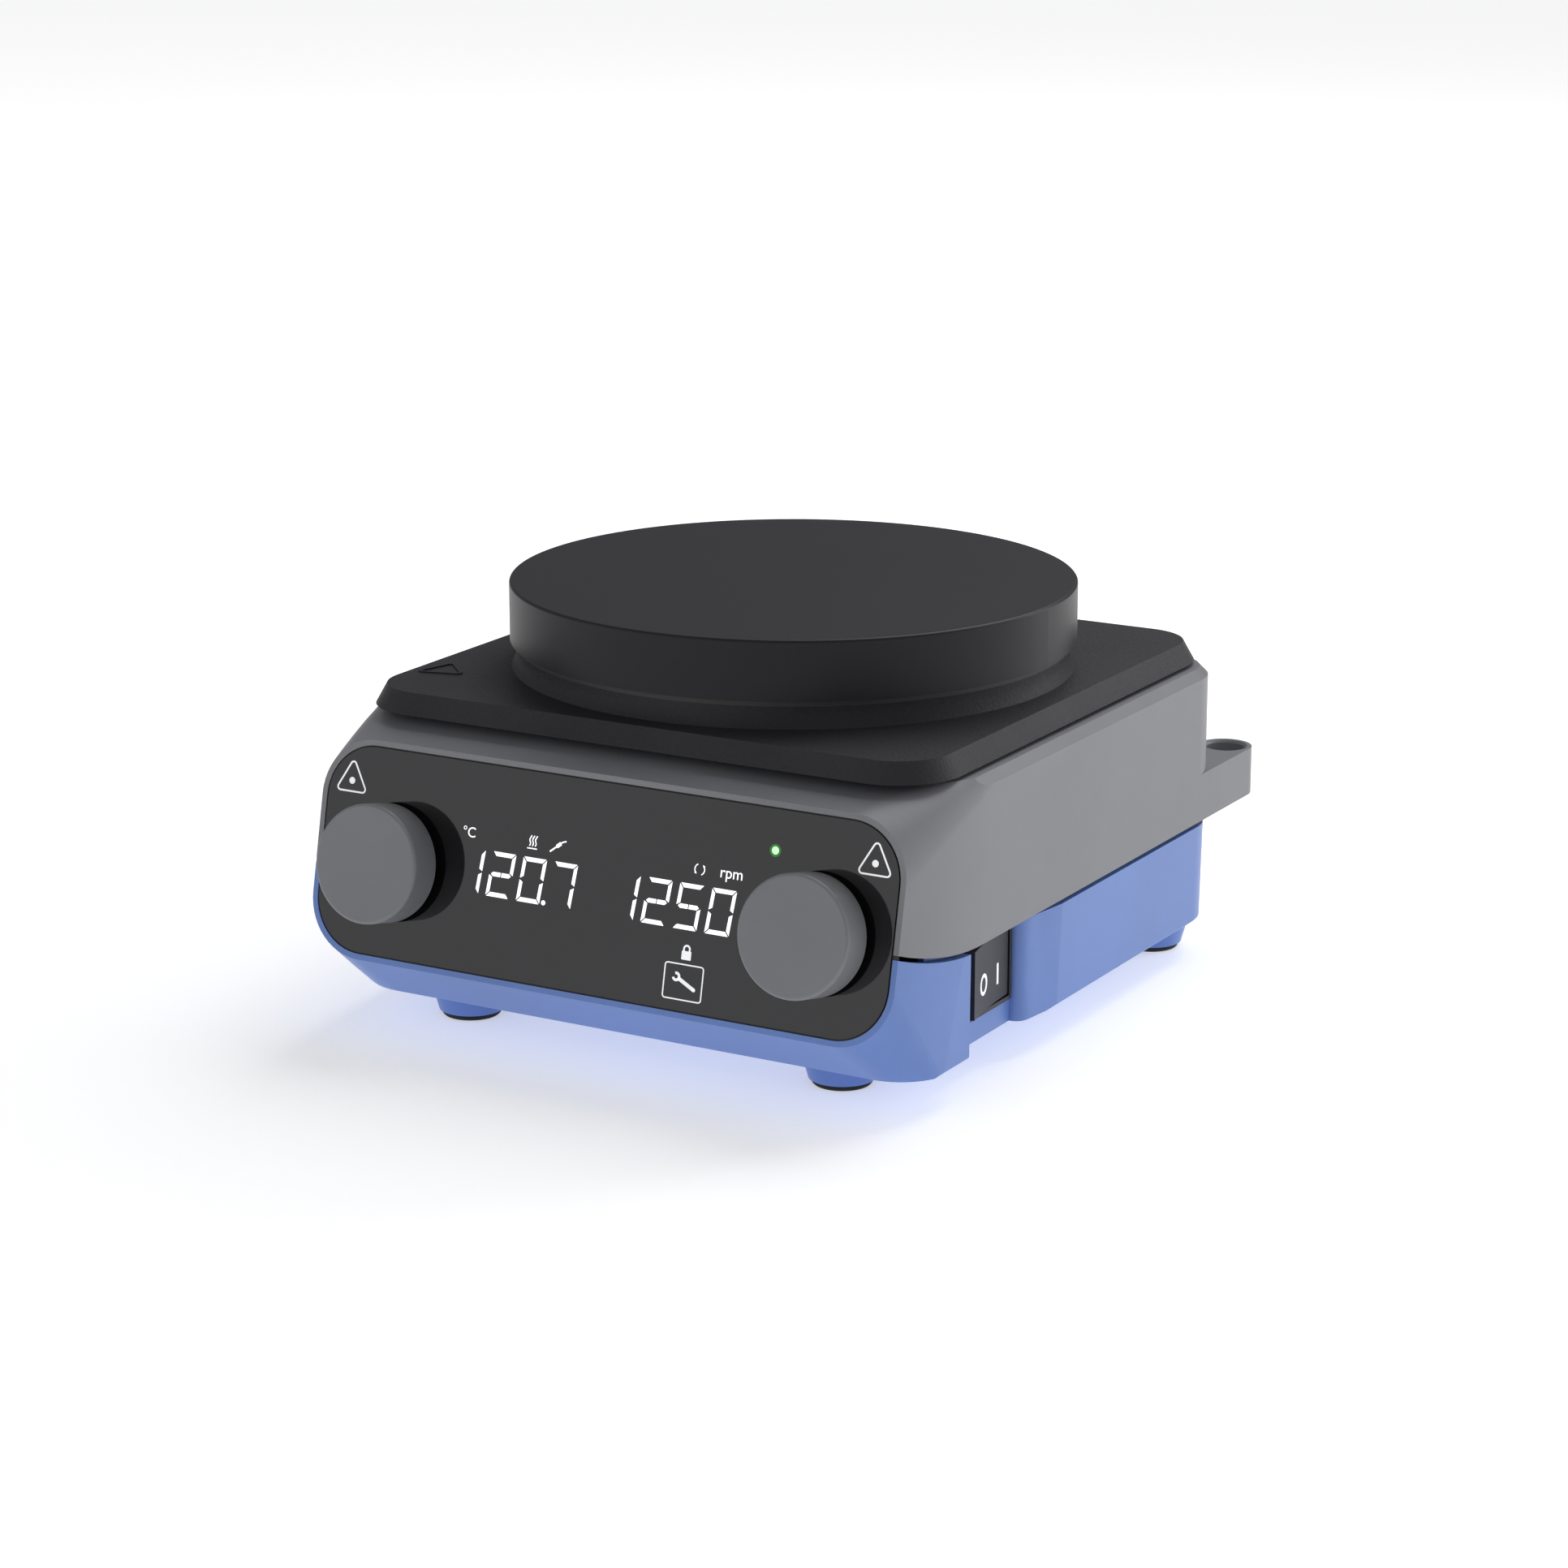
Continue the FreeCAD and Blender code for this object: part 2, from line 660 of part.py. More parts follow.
def make_rocker_pin():
    pivot = pivot_point()
    half = rocker_pin_half()
    return rod(rocker_pin_radius, pivot.x, pivot.y, pivot.z - half, pivot.z + half)


def make_switch_terminals():
    back = switch_face_x - switch_depth
    blades = []
    for sy in (-1, 1):
        for sz in (-1, 1):
            y = switch_centre_y + sy * 6
            z = switch_z + sz * 4
            blades.append(box(terminal_end, back, y - 0.4, y + 0.4, z - 2.4, z + 2.4))
    return Part.makeCompound(blades)


# ---- cover, plate and heater ----
def make_splash_cover():
    slope = cover_slope
    corner = cover_corner_radius
    low = outline(-cover_half, cover_half, -cover_half_y, cover_half_y, [corner] * 4, cover_bottom)
    high = outline(-cover_half + slope, cover_half - slope, -cover_half_y + slope, cover_half_y - slope,
                   [corner - slope] * 4, cover_top)
    skirt = ruled(low, high)
    low_in = outline(-cover_half + cover_wall, cover_half - cover_wall, -cover_half_y + cover_wall,
                     cover_half_y - cover_wall, [corner - cover_wall] * 4, cover_bottom - 1)
    inset = slope + cover_wall
    high_in = outline(-cover_half + inset, cover_half - inset, -cover_half_y + inset, cover_half_y - inset,
                      [corner - inset] * 4, cover_top - cover_wall)
    skirt = skirt.cut(ruled(low_in, high_in))
    collar_radius = plate_radius - ring_inset
    inner = collar_radius - 2 * collar_drop_wall
    foot_radius = collar_radius + collar_flare
    arc_middle = V(collar_radius + collar_flare * 0.3, 0, cover_top + cover_collar_height * 0.3)
    points = [V(inner, 0, body_top), V(inner + collar_drop_wall, 0, body_top),
              V(inner + collar_drop_wall, 0, cover_top - cover_wall),
              V(foot_radius, 0, cover_top - cover_wall),
              V(foot_radius, 0, cover_top), V(collar_radius, 0, collar_top), V(inner, 0, collar_top)]
    edges = [Part.LineSegment(points[0], points[1]).toShape(),
             Part.LineSegment(points[1], points[2]).toShape(),
             Part.LineSegment(points[2], points[3]).toShape(),
             Part.LineSegment(points[3], points[4]).toShape(),
             Part.Arc(points[4], arc_middle, points[5]).toShape(),
             Part.LineSegment(points[5], points[6]).toShape(),
             Part.LineSegment(points[6], points[0]).toShape()]
    collar = Part.Face(Part.Wire(edges)).revolve(V(0, 0, 0), UP, 360)
    skirt = skirt.cut(rod(inner + collar_drop_wall / 2, 0, 0, 0, 200))
    return skirt.fuse(collar).removeSplitter()


def make_plate():
    disc = rod(plate_radius, 0, 0, plate_bottom, plate_top)
    rims = [edge for edge in disc.Edges if edge.BoundBox.ZMin > plate_top - 0.01]
    disc = disc.makeFillet(plate_edge_radius, rims)
    disc = disc.cut(rod(plate_radius - plate_rim_wall, 0, 0, plate_bottom - 1, plate_top - plate_thickness))
    for x, y in standoff_places():
        disc = disc.fuse(rod(plate_boss_radius, x, y, plate_bottom, plate_top - plate_thickness + 0.5))
        disc = disc.cut(rod(screw_radius, x, y, plate_bottom - 1, plate_bottom + 6))
    return disc.removeSplitter()


def element_top():
    return plate_top - plate_thickness


def make_heating_element():
    outer = standoff_circle_radius - plate_boss_radius - element_margin
    return tube(outer, element_inner_radius, 0, 0, element_top() - element_thickness, element_top())


def make_insulation():
    disc = rod(plate_radius - plate_rim_wall - 0.5, 0, 0, plate_bottom, element_top() - element_thickness)
    disc = disc.cut(rod(3.0, 0, 0, 0, 200))
    for x, y in standoff_places():
        disc = disc.cut(rod(plate_boss_radius + 0.3, x, y, 0, 200))
    return disc


def make_sensor():
    z0 = plate_bottom - shield_thickness - 2
    return rod(2.2, 0, 0, z0, element_top())


def shield_radius():
    return plate_radius - ring_inset - 2 * collar_drop_wall - 0.5


def make_heat_shield():
    disc = rod(shield_radius(), 0, 0, plate_bottom - shield_thickness, plate_bottom)
    disc = disc.cut(rod(2.4, 0, 0, 0, 200))
    for x, y in standoff_places():
        disc = disc.cut(rod(screw_radius + screw_clearance, x, y, 0, 200))
    return disc


def make_ring_seal():
    outer = plate_radius - ring_inset
    return tube(outer, shield_radius() + 0.5, 0, 0, collar_top, plate_bottom)


def make_standoffs():
    z1 = plate_bottom - shield_thickness
    pieces = []
    for x, y in standoff_places():
        pieces.append(tube(standoff_radius, screw_radius + screw_clearance, x, y, body_top, z1))
    return Part.makeCompound(pieces)


def screw(x, y, z_head, z_tip, radius, head_radius, head_height):
    """Screw whose head is below its tip when z_head is lower than z_tip, and above it otherwise."""
    if z_head < z_tip:
        shank = rod(radius, x, y, z_head, z_tip)
        head = rod(head_radius, x, y, z_head, z_head + head_height)
        slot = box(x - head_radius * 0.6, x + head_radius * 0.6, y - 0.4, y + 0.4, z_head - 1, z_head + 0.9)
    else:
        shank = rod(radius, x, y, z_tip, z_head)
        head = rod(head_radius, x, y, z_head - head_height, z_head)
        slot = box(x - head_radius * 0.6, x + head_radius * 0.6, y - 0.4, y + 0.4, z_head - 0.9, z_head + 1)
    return shank.fuse(head).cut(slot).removeSplitter()


def make_plate_screws():
    under = body_top - top_wall
    pieces = []
    for x, y in standoff_places():
        pieces.append(screw(x, y, under - screw_head_height, plate_bottom + 5.5, screw_radius,
                            screw_head_radius, screw_head_height))
    return Part.makeCompound(pieces)


# ---- motor ----
bracket_top = body_top - top_wall
motor_top = bracket_top - bracket_thickness
motor_bottom = motor_top - motor_length
carrier_bottom = bracket_top + carrier_gap
magnet_bottom = carrier_bottom + carrier_thickness


def motor_screw_places():
    return list(around_plate(3, 30, motor_radius - 8))


def make_bracket():
    reach = opening_radius + bracket_overlap
    plate = rounded_block(-reach, reach, -bracket_width / 2, bracket_width / 2, 6.0, motor_top, bracket_top)
    plate = plate.cut(rod(motor_shaft_radius + 3, 0, 0, 0, 200))
    for x, y in motor_screw_places():
        plate = plate.cut(rod(screw_radius + screw_clearance, x, y, 0, 200))
        plate = plate.cut(rod(screw_head_radius + screw_clearance, x, y, bracket_top - 1.8, 200))
    for x, y in bracket_screw_places():
        plate = plate.cut(rod(screw_radius + screw_clearance, x, y, 0, 200))
    return plate


def make_bracket_screws():
    pieces = []
    for x, y in bracket_screw_places():
        pieces.append(screw(x, y, motor_top - screw_head_height, bracket_top + 2.0, screw_radius,
                            screw_head_radius, screw_head_height))
    return Part.makeCompound(pieces)


def make_motor_housing():
    can = rod(motor_radius, 0, 0, motor_bottom + motor_wall, motor_top)
    can = can.cut(rod(motor_radius - motor_wall, 0, 0, motor_bottom, motor_top - motor_wall))
    boss = rod(bearing_radius + 2, 0, 0, motor_top - bearing_height - 1, motor_top - 0.5)
    can = can.fuse(boss)
    can = can.cut(rod(bearing_radius, 0, 0, motor_top - bearing_height - 2, motor_top - 1))
    can = can.cut(rod(motor_shaft_radius + 1, 0, 0, 0, 200))
    for x, y in motor_screw_places():
        can = can.fuse(rod(3.5, x, y, motor_top - 6, motor_top - 1))
        can = can.cut(rod(screw_radius, x, y, motor_top - 5, motor_top + 1))
    return can.removeSplitter()


def make_motor_cap():
    cap = rod(motor_radius, 0, 0, motor_bottom, motor_bottom + motor_wall)
    cap = cap.fuse(rod(bearing_radius + 2, 0, 0, motor_bottom, motor_bottom + bearing_height + 1))
    return cap.cut(rod(bearing_radius, 0, 0, motor_bottom + 1, motor_bottom + 20)).removeSplitter()


def make_bearings():
    bore = motor_shaft_radius + running_clearance
    low = tube(bearing_radius, bore, 0, 0, motor_bottom + 1, motor_bottom + 1 + bearing_height)
    high = tube(bearing_radius, bore, 0, 0, motor_top - 1 - bearing_height, motor_top - 1)
    return Part.makeCompound([low, high])


def rotor_base():
    return motor_bottom + bearing_height + 2.4


def make_stator():
    ring = tube(motor_radius - motor_wall, rotor_radius + air_gap, 0, 0, rotor_base(),
                rotor_base() + rotor_height)
    return ring


def make_rotor():
    return tube(rotor_radius, motor_shaft_radius, 0, 0, rotor_base(), rotor_base() + rotor_height)


def make_motor_shaft():
    return rod(motor_shaft_radius, 0, 0, motor_bottom + 1.5, magnet_bottom)


def make_motor_screws():
    pieces = []
    for x, y in motor_screw_places():
        pieces.append(screw(x, y, bracket_top, motor_top - 4.5, screw_radius, screw_head_radius, 1.8))
    return Part.makeCompound(pieces)


def make_carrier():
    disc = rod(carrier_radius, 0, 0, carrier_bottom, magnet_bottom)
    half = magnet_radius + 2
    bar = box(-carrier_radius, carrier_radius, -half, half, carrier_bottom, magnet_bottom)
    disc = disc.common(bar)
    for sx in (-1, 1):
        ring = tube(half, magnet_radius, sx * magnet_offset, 0, magnet_bottom - 0.5, magnet_bottom + 2)
        disc = disc.fuse(ring)
    disc = disc.fuse(rod(8, 0, 0, carrier_bottom, magnet_bottom + 4))
    return disc.cut(rod(motor_shaft_radius, 0, 0, 0, magnet_bottom)).cut(
        rod(1.5, 0, 0, 0, 200)).removeSplitter()


def make_magnets():
    pieces = []
    top = magnet_bottom + magnet_height
    for sx in (-1, 1):
        pieces.append(rod(magnet_radius, sx * magnet_offset, 0, magnet_bottom, top))
    return Part.makeCompound(pieces)


def make_carrier_screw():
    top = magnet_bottom + 4
    return screw(0, 0, top + 1.8, top - 3.5, 1.5, 2.8, 1.8)


# ---- panel, display and controls ----
def knob_places():
    return {"temperature": -knob_x, "speed": knob_x}


def make_front_panel():
    slab = rounded_block(-panel_half, panel_half, -panel_height / 2, panel_height / 2, panel_corner_radius,
                         -panel_thickness, 0)
    for x in knob_places().values():
        slab = slab.cut(rod(shaft_radius + shaft_hole_clearance, x, -knob_drop, -10, 10))
    slab = slab.cut(rod(led_radius, led_x, led_v, -10, 10))
    return place_on_panel(slab)


def make_panel_gasket():
    outer = rounded_block(-panel_half - gasket_width, panel_half + gasket_width,
                          -panel_height / 2 - gasket_width, panel_height / 2 + gasket_width,
                          panel_corner_radius + gasket_width, -panel_thickness, -0.5)
    inner = rounded_block(-panel_half, panel_half, -panel_height / 2, panel_height / 2, panel_corner_radius,
                          -20, 20)
    return place_on_panel(outer.cut(inner))


def board_front():
    return -control_board_depth


def make_control_board():
    half = control_board_width / 2
    tall = control_board_height / 2
    board = rounded_block(-half, half, -tall, tall, 2.0, board_front() - board_thickness, board_front())
    return place_on_panel(board)


def make_display():
    half = display_width / 2
    tall = display_height / 2
    block = rounded_block(-half, half, -tall, tall, 1.0, -panel_thickness - display_thickness,
                          -panel_thickness)
    back = -panel_thickness - display_thickness
    legs = box(-half + 2, half - 2, -tall + 1, -tall + 3, board_front(), back)
    return place_on_panel(block.fuse(legs).removeSplitter())


def make_status_light():
    """Light pipe from a small block on the control board to the panel's face."""
    pipe = rod(led_radius, led_x, led_v, -panel_thickness - 5.0, 0)
    foot = box(led_x - 2, led_x + 2, led_v - 4, led_v + 2, -panel_thickness - 6.5, -panel_thickness - 5.0)
    stem = box(led_x - 1, led_x + 1, led_v - 4, led_v - 2, board_front(), -panel_thickness - 6.5)
    return place_on_panel(pipe.fuse(foot).fuse(stem).removeSplitter())


def encoder_top():
    return board_front() + encoder_height


def make_encoder(x):
    half = encoder_size / 2
    body = box(x - half, x + half, -knob_drop - half, -knob_drop + half, board_front(), encoder_top())
    neck = rod(shaft_radius + 1.3, x, -knob_drop, encoder_top(), -panel_thickness - 0.3)
    hollow = rod(plunger_radius + 0.6, x, -knob_drop, board_front() + 1.0, encoder_top() - 1.0)
    bore = rod(shaft_radius + running_clearance, x, -knob_drop, board_front() + 2.0, 10)
    return place_on_panel(body.fuse(neck).cut(hollow).cut(bore).removeSplitter())


def plunger_base():
    return board_front() + 1.0 + press_travel + 0.4


def make_plunger(x):
    low = plunger_base()
    return place_on_panel(rod(plunger_radius, x, -knob_drop, low, low + plunger_height))


def make_encoder_shaft(x):
    low = plunger_base() + plunger_height + 0.02
    shaft = rod(shaft_radius, x, -knob_drop, low, knob_face - knob_wall)
    flat = box(x - 5, x + 5, -knob_drop + shaft_radius * 0.6, 20, knob_standoff + 0.5, 20)
    return place_on_panel(shaft.cut(flat))


def make_shaft_seals():
    pieces = []
    for x in knob_places().values():
        pieces.append(place_on_panel(tube(shaft_radius + 3.0, shaft_radius + 0.3, x, -knob_drop, 0, 0.9)))
    return Part.makeCompound(pieces)


def make_knob(x):
    """Hollow cap with a hub that grips the flatted shaft."""
    cap = rod(knob_radius, x, -knob_drop, knob_standoff, knob_face)
    rims = [edge for edge in cap.Edges if edge.BoundBox.ZMin > knob_face - 0.01]
    cap = cap.makeFillet(knob_edge_radius, rims)
    hollow = tube(knob_radius - knob_wall, shaft_radius + 2.0, x, -knob_drop, knob_standoff - 1,
                  knob_face - knob_wall)
    cap = cap.cut(hollow)
    bore = rod(shaft_radius, x, -knob_drop, knob_standoff - 1, knob_face - knob_wall)
    flat = box(x - 5, x + 5, -knob_drop + shaft_radius * 0.6, 20, knob_standoff + 0.5, 20)
    return place_on_panel(cap.cut(bore.cut(flat)).removeSplitter())


# ---- power electronics ----
def board_hole_places():
    xs = (-power_board_width / 2 + board_hole_inset, power_board_width / 2 - board_hole_inset)
    ys = (power_board_front + board_hole_inset, power_board_rear - board_hole_inset)
    return [(x, y) for x in xs for y in ys]


def make_power_board():
    half = power_board_width / 2
    z0 = power_board_z
    board = box(-half, half, power_board_front, power_board_rear, z0, z0 + board_thickness)
    for x, y in board_hole_places():
        board = board.cut(rod(board_hole_radius, x, y, 0, 200))
    return board


def make_board_posts():
    pieces = []
    for x, y in board_hole_places():
        pieces.append(tube(board_post_radius, small_screw_radius, x, y, floor_top, power_board_z))
    return Part.makeCompound(pieces)


def make_board_screws():
    pieces = []
    top = power_board_z + board_thickness
    for x, y in board_hole_places():
        pieces.append(screw(x, y, top + 1.8, top - 5.0, small_screw_radius, small_head_radius, 1.8))
    return Part.makeCompound(pieces)


def make_transformer():
    top = power_board_z + board_thickness
    left = -power_board_width / 2
    right = left + transformer_width
    half = transformer_length / 2
    half_coil = coil_length / 2
    core = rounded_block(left + 2, right - 2, transformer_y - half, transformer_y + half, 1.0,
                         top + 3, top + transformer_height - 3)
    coil = rounded_block(left, right, transformer_y - half_coil, transformer_y + half_coil, 3.0,
                         top, top + transformer_height)
    return core.fuse(coil).removeSplitter()


def make_capacitors():
    top = power_board_z + board_thickness
    x = power_board_width / 2 - 2 * capacitor_radius
    pieces = []
    for index in range(capacitor_count):
        y = (index - capacitor_count + 1) * capacitor_pitch + 10
        pieces.append(rod(capacitor_radius, x, y, top, top + capacitor_height))
    return Part.makeCompound(pieces)


def make_heat_sink():
    low = power_board_z + board_thickness
    high = low + heat_sink_height
    back = power_board_rear - heat_sink_back
    front = back - heat_sink_back
    half = heat_sink_width / 2
    sink = box(-half, half, front, back, low, high)
    pitch = (heat_sink_width - fin_thickness) / (fin_count - 1)
    for index in range(fin_count):
        x = index * pitch - half
        sink = sink.fuse(box(x, x + fin_thickness, front - fin_length, front + 0.5, low + 2, high))
    return sink.removeSplitter()


def make_base_screws():
    pieces = []
    for x, y in base_post_places():
        pieces.append(screw(x, y, base_bottom + 1.2 - screw_head_height, base_bottom + 17, screw_radius,
                            screw_head_radius, screw_head_height))
    return Part.makeCompound(pieces)


def make_foot_pads():
    pieces = []
    for x, y in foot_places():
        pad = rod(pad_radius, x, y, 0, pad_visible + pad_depth)
        low = [edge for edge in pad.Edges if edge.BoundBox.ZMax < 0.01]
        pieces.append(pad.makeChamfer(0.4, low))
    return Part.makeCompound(pieces)


# ---- rear connectors ----
def make_mains_inlet():
    body = inlet_outline(0, body_rear - inlet_depth, body_rear + flange_thickness)
    half = inlet_width / 2 + inlet_flange
    tall = inlet_height / 2 + flange_thickness
    flange = rounded_block(inlet_x - half, inlet_x + half, -tall, tall, flange_corner_radius,
                           0, flange_thickness)
    flange.rotate(V(0, 0, 0), V(1, 0, 0), -90)
    flange.translate(V(0, body_rear, connector_z))
    body = body.fuse(flange)
    mouth = inlet_mouth_width / 2
    mouth_half = inlet_mouth_height / 2
    socket = rounded_block(inlet_x - mouth, inlet_x + mouth, -mouth_half, mouth_half, 2.0,
                           0, inlet_mouth_depth + flange_thickness)
    socket.rotate(V(0, 0, 0), V(1, 0, 0), 90)
    socket.translate(V(0, body_rear + flange_thickness, connector_z))
    body = body.cut(socket)
    for x in inlet_screw_places():
        body = body.cut(rear_rod(small_screw_radius + screw_clearance, x, connector_z, body_rear - 1,
                                 body_rear + 5))
    return body.removeSplitter()


def make_inlet_blades():
    floor_y = body_rear - inlet_mouth_depth
    thick = blade_size / 2
    tall = blade_height / 2
    blades = []
    for x, z in ((-7.0, -2.0), (7.0, -2.0), (0.0, 2.0)):
        blades.append(box(inlet_x + x - thick, inlet_x + x + thick, floor_y, floor_y + blade_length,
                          connector_z + z - tall, connector_z + z + tall))
    return Part.makeCompound(blades)


def make_inlet_screws():
    pieces = []
    for x in inlet_screw_places():
        seat = body_rear + flange_thickness
        shank = rear_rod(small_screw_radius, x, connector_z, body_rear - 6, seat)
        head = rear_rod(small_head_radius, x, connector_z, seat, seat + small_head_height)
        slot = box(x - 2, x + 2, seat + small_head_height / 2, seat + 4,
                   connector_z - 0.4, connector_z + 0.4)
        pieces.append(shank.fuse(head).cut(slot).removeSplitter())
    return Part.makeCompound(pieces)


def make_probe_socket():
    barrel = rear_rod(probe_radius, probe_x, connector_z, body_rear - 14, body_rear + 1.2)
    flange = rear_rod(probe_radius + 2, probe_x, connector_z, body_rear, body_rear + 1.2)
    hollow = rear_rod(probe_radius - 1.6, probe_x, connector_z, body_rear - 10, body_rear + 5)
    socket = barrel.fuse(flange).cut(hollow)
    for x, z in around_plate(5, 90, 4.0):
        socket = socket.fuse(rear_rod(0.5, probe_x + x, connector_z + z, body_rear - 11, body_rear - 5))
    return socket.removeSplitter()


parts["upper_housing"] = make_upper_housing()
parts["lower_housing"] = make_lower_housing()
parts["splash_cover"] = make_splash_cover()
parts["heating_plate"] = make_plate()
parts["plate_ring_seal"] = make_ring_seal()
parts["heating_element"] = make_heating_element()
parts["insulation_disc"] = make_insulation()
parts["heat_shield"] = make_heat_shield()
parts["plate_temperature_sensor"] = make_sensor()
parts["plate_standoffs"] = make_standoffs()
parts["plate_screws"] = make_plate_screws()
parts["motor_bracket"] = make_bracket()
parts["bracket_screws"] = make_bracket_screws()
parts["motor_housing"] = make_motor_housing()
parts["motor_end_cap"] = make_motor_cap()
parts["motor_bearings"] = make_bearings()
parts["motor_stator"] = make_stator()
parts["motor_screws"] = make_motor_screws()
parts["motor_shaft"] = make_motor_shaft()
parts["rotor_core"] = make_rotor()
parts["magnet_carrier"] = make_carrier()
parts["stirring_magnets"] = make_magnets()
parts["carrier_screw"] = make_carrier_screw()
parts["front_panel"] = make_front_panel()
parts["panel_gasket"] = make_panel_gasket()
parts["control_board"] = make_control_board()
parts["display_module"] = make_display()
parts["status_light"] = make_status_light()
parts["shaft_seals"] = make_shaft_seals()
for side, place in knob_places().items():
    parts[side + "_encoder"] = make_encoder(place)
    parts[side + "_push_plunger"] = make_plunger(place)
    parts[side + "_encoder_shaft"] = make_encoder_shaft(place)
    parts[side + "_knob"] = make_knob(place)
parts["switch_body"] = make_switch_body()
parts["switch_rocker"] = make_rocker()
parts["rocker_pin"] = make_rocker_pin()
parts["switch_terminals"] = make_switch_terminals()
parts["power_board"] = make_power_board()
parts["board_posts"] = make_board_posts()
parts["board_screws"] = make_board_screws()
parts["transformer"] = make_transformer()
parts["capacitors"] = make_capacitors()
parts["heat_sink"] = make_heat_sink()
parts["base_screws"] = make_base_screws()
parts["foot_pads"] = make_foot_pads()
parts["mains_inlet"] = make_mains_inlet()
parts["inlet_blades"] = make_inlet_blades()
parts["inlet_screws"] = make_inlet_screws()
parts["probe_socket"] = make_probe_socket()

os.makedirs("parts", exist_ok=True)
for name, shape in parts.items():
    placed = shape.copy()
    placed.translate(shift)
    placed.exportStep("parts/" + name + ".step")
    print(name, len(placed.Solids), round(placed.Volume, 1), placed.isValid())
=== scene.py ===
import json
import math

import bmesh
import bpy
from mathutils import Matrix, Vector


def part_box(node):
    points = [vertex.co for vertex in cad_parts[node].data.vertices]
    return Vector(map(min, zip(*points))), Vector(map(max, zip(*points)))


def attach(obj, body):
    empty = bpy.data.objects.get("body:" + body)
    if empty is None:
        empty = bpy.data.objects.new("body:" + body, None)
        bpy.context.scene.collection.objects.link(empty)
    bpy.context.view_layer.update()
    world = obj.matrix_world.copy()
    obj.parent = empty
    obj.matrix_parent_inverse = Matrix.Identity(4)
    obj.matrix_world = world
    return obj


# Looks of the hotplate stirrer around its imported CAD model. Everything is in metres, in the CAD's frame:
# +Z up, the control panel towards -Y, the surface it stands on at zero. Every CAD node stays and gets a
# procedural material; the readings, marks, floor, light and camera are added.

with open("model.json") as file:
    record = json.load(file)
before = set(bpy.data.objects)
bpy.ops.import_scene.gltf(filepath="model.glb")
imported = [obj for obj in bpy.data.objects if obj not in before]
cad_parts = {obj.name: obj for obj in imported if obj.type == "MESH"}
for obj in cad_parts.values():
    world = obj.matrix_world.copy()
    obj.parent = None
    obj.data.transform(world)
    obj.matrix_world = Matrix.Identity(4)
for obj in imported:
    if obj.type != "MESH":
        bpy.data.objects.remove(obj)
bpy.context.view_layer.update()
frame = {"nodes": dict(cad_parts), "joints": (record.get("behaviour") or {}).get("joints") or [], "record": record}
nodes = frame["nodes"]
MM = 0.001


# ---------------------------------------------------------------- places that come from the frame
def joint(name):
    """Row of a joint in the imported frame."""
    return next(j for j in frame["joints"] if j["name"] == name)


def centre(node):
    """Middle of a node's box."""
    low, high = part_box(node)
    return (low + high) / 2


plate_axis = centre("heating_plate")
panel_out = Vector(joint("speed_knob_turn")["axis"]).normalized()
panel_right = Vector((1, 0, 0))
panel_up = panel_out.cross(panel_right).normalized()
left_knob = Vector(joint("temperature_knob_turn")["pos_m"])
right_knob = Vector(joint("speed_knob_turn")["pos_m"])
knob_middle = (left_knob + right_knob) / 2
panel_points = [v.co.copy() for v in nodes["front_panel"].data.vertices]
panel_level = max(p.dot(panel_out) for p in panel_points)
panel_heights = [p.dot(panel_up) for p in panel_points]
panel_middle_height = (max(panel_heights) + min(panel_heights)) / 2
panel_origin = knob_middle.copy()
panel_origin += panel_up * (panel_middle_height - knob_middle.dot(panel_up))
panel_origin += panel_out * (panel_level - panel_origin.dot(panel_out))
PANEL = Matrix((panel_right, panel_up, panel_out)).transposed().to_4x4()
PANEL.translation = panel_origin


# ---------------------------------------------------------------- material helpers
def new_material(name):
    """Material with its node tree and its surface shader."""
    material = bpy.data.materials.new(name)
    material.use_nodes = True
    tree = material.node_tree
    return material, tree, tree.nodes["Principled BSDF"]


def add(tree, kind, **values):
    """New node with its inputs (by name) and properties set."""
    node = tree.nodes.new(kind)
    for key, value in values.items():
        if key in node.inputs:
            node.inputs[key].default_value = value
        else:
            setattr(node, key, value)
    return node


def object_space(tree, scale):
    """Texture coordinates in metres on the object, scaled."""
    coords = add(tree, "ShaderNodeTexCoord")
    mapping = add(tree, "ShaderNodeMapping")
    mapping.inputs["Scale"].default_value = (scale, scale, scale)
    tree.links.new(coords.outputs["Object"], mapping.inputs["Vector"])
    return mapping.outputs["Vector"]


def noise(tree, vector, scale, detail=3.0, roughness=0.5):
    node = add(tree, "ShaderNodeTexNoise", Scale=scale, Detail=detail, Roughness=roughness)
    tree.links.new(vector, node.inputs["Vector"])
    return node.outputs["Fac"]


def ramp(tree, value, low, high, colour_low, colour_high):
    """Colour that goes from one to the other between two values."""
    node = add(tree, "ShaderNodeValToRGB")
    node.color_ramp.elements[0].position = low
    node.color_ramp.elements[1].position = high
    node.color_ramp.elements[0].color = (*colour_low, 1)
    node.color_ramp.elements[1].color = (*colour_high, 1)
    tree.links.new(value, node.inputs["Fac"])
    return node.outputs["Color"]


def spread(tree, value, low, high):
    """Maps a 0 to 1 value to low to high."""
    node = add(tree, "ShaderNodeMapRange")
    node.inputs["To Min"].default_value = low
    node.inputs["To Max"].default_value = high
    tree.links.new(value, node.inputs["Value"])
    return node.outputs["Result"]


def bump(tree, shader, height, strength, distance):
    node = add(tree, "ShaderNodeBump", Strength=strength, Distance=distance)
    tree.links.new(height, node.inputs["Height"])
    tree.links.new(node.outputs["Normal"], shader.inputs["Normal"])
    return node


def shade(colour, factor):
    """Lighter or darker version of a colour."""
    return tuple(min(c * factor, 1.0) for c in colour)


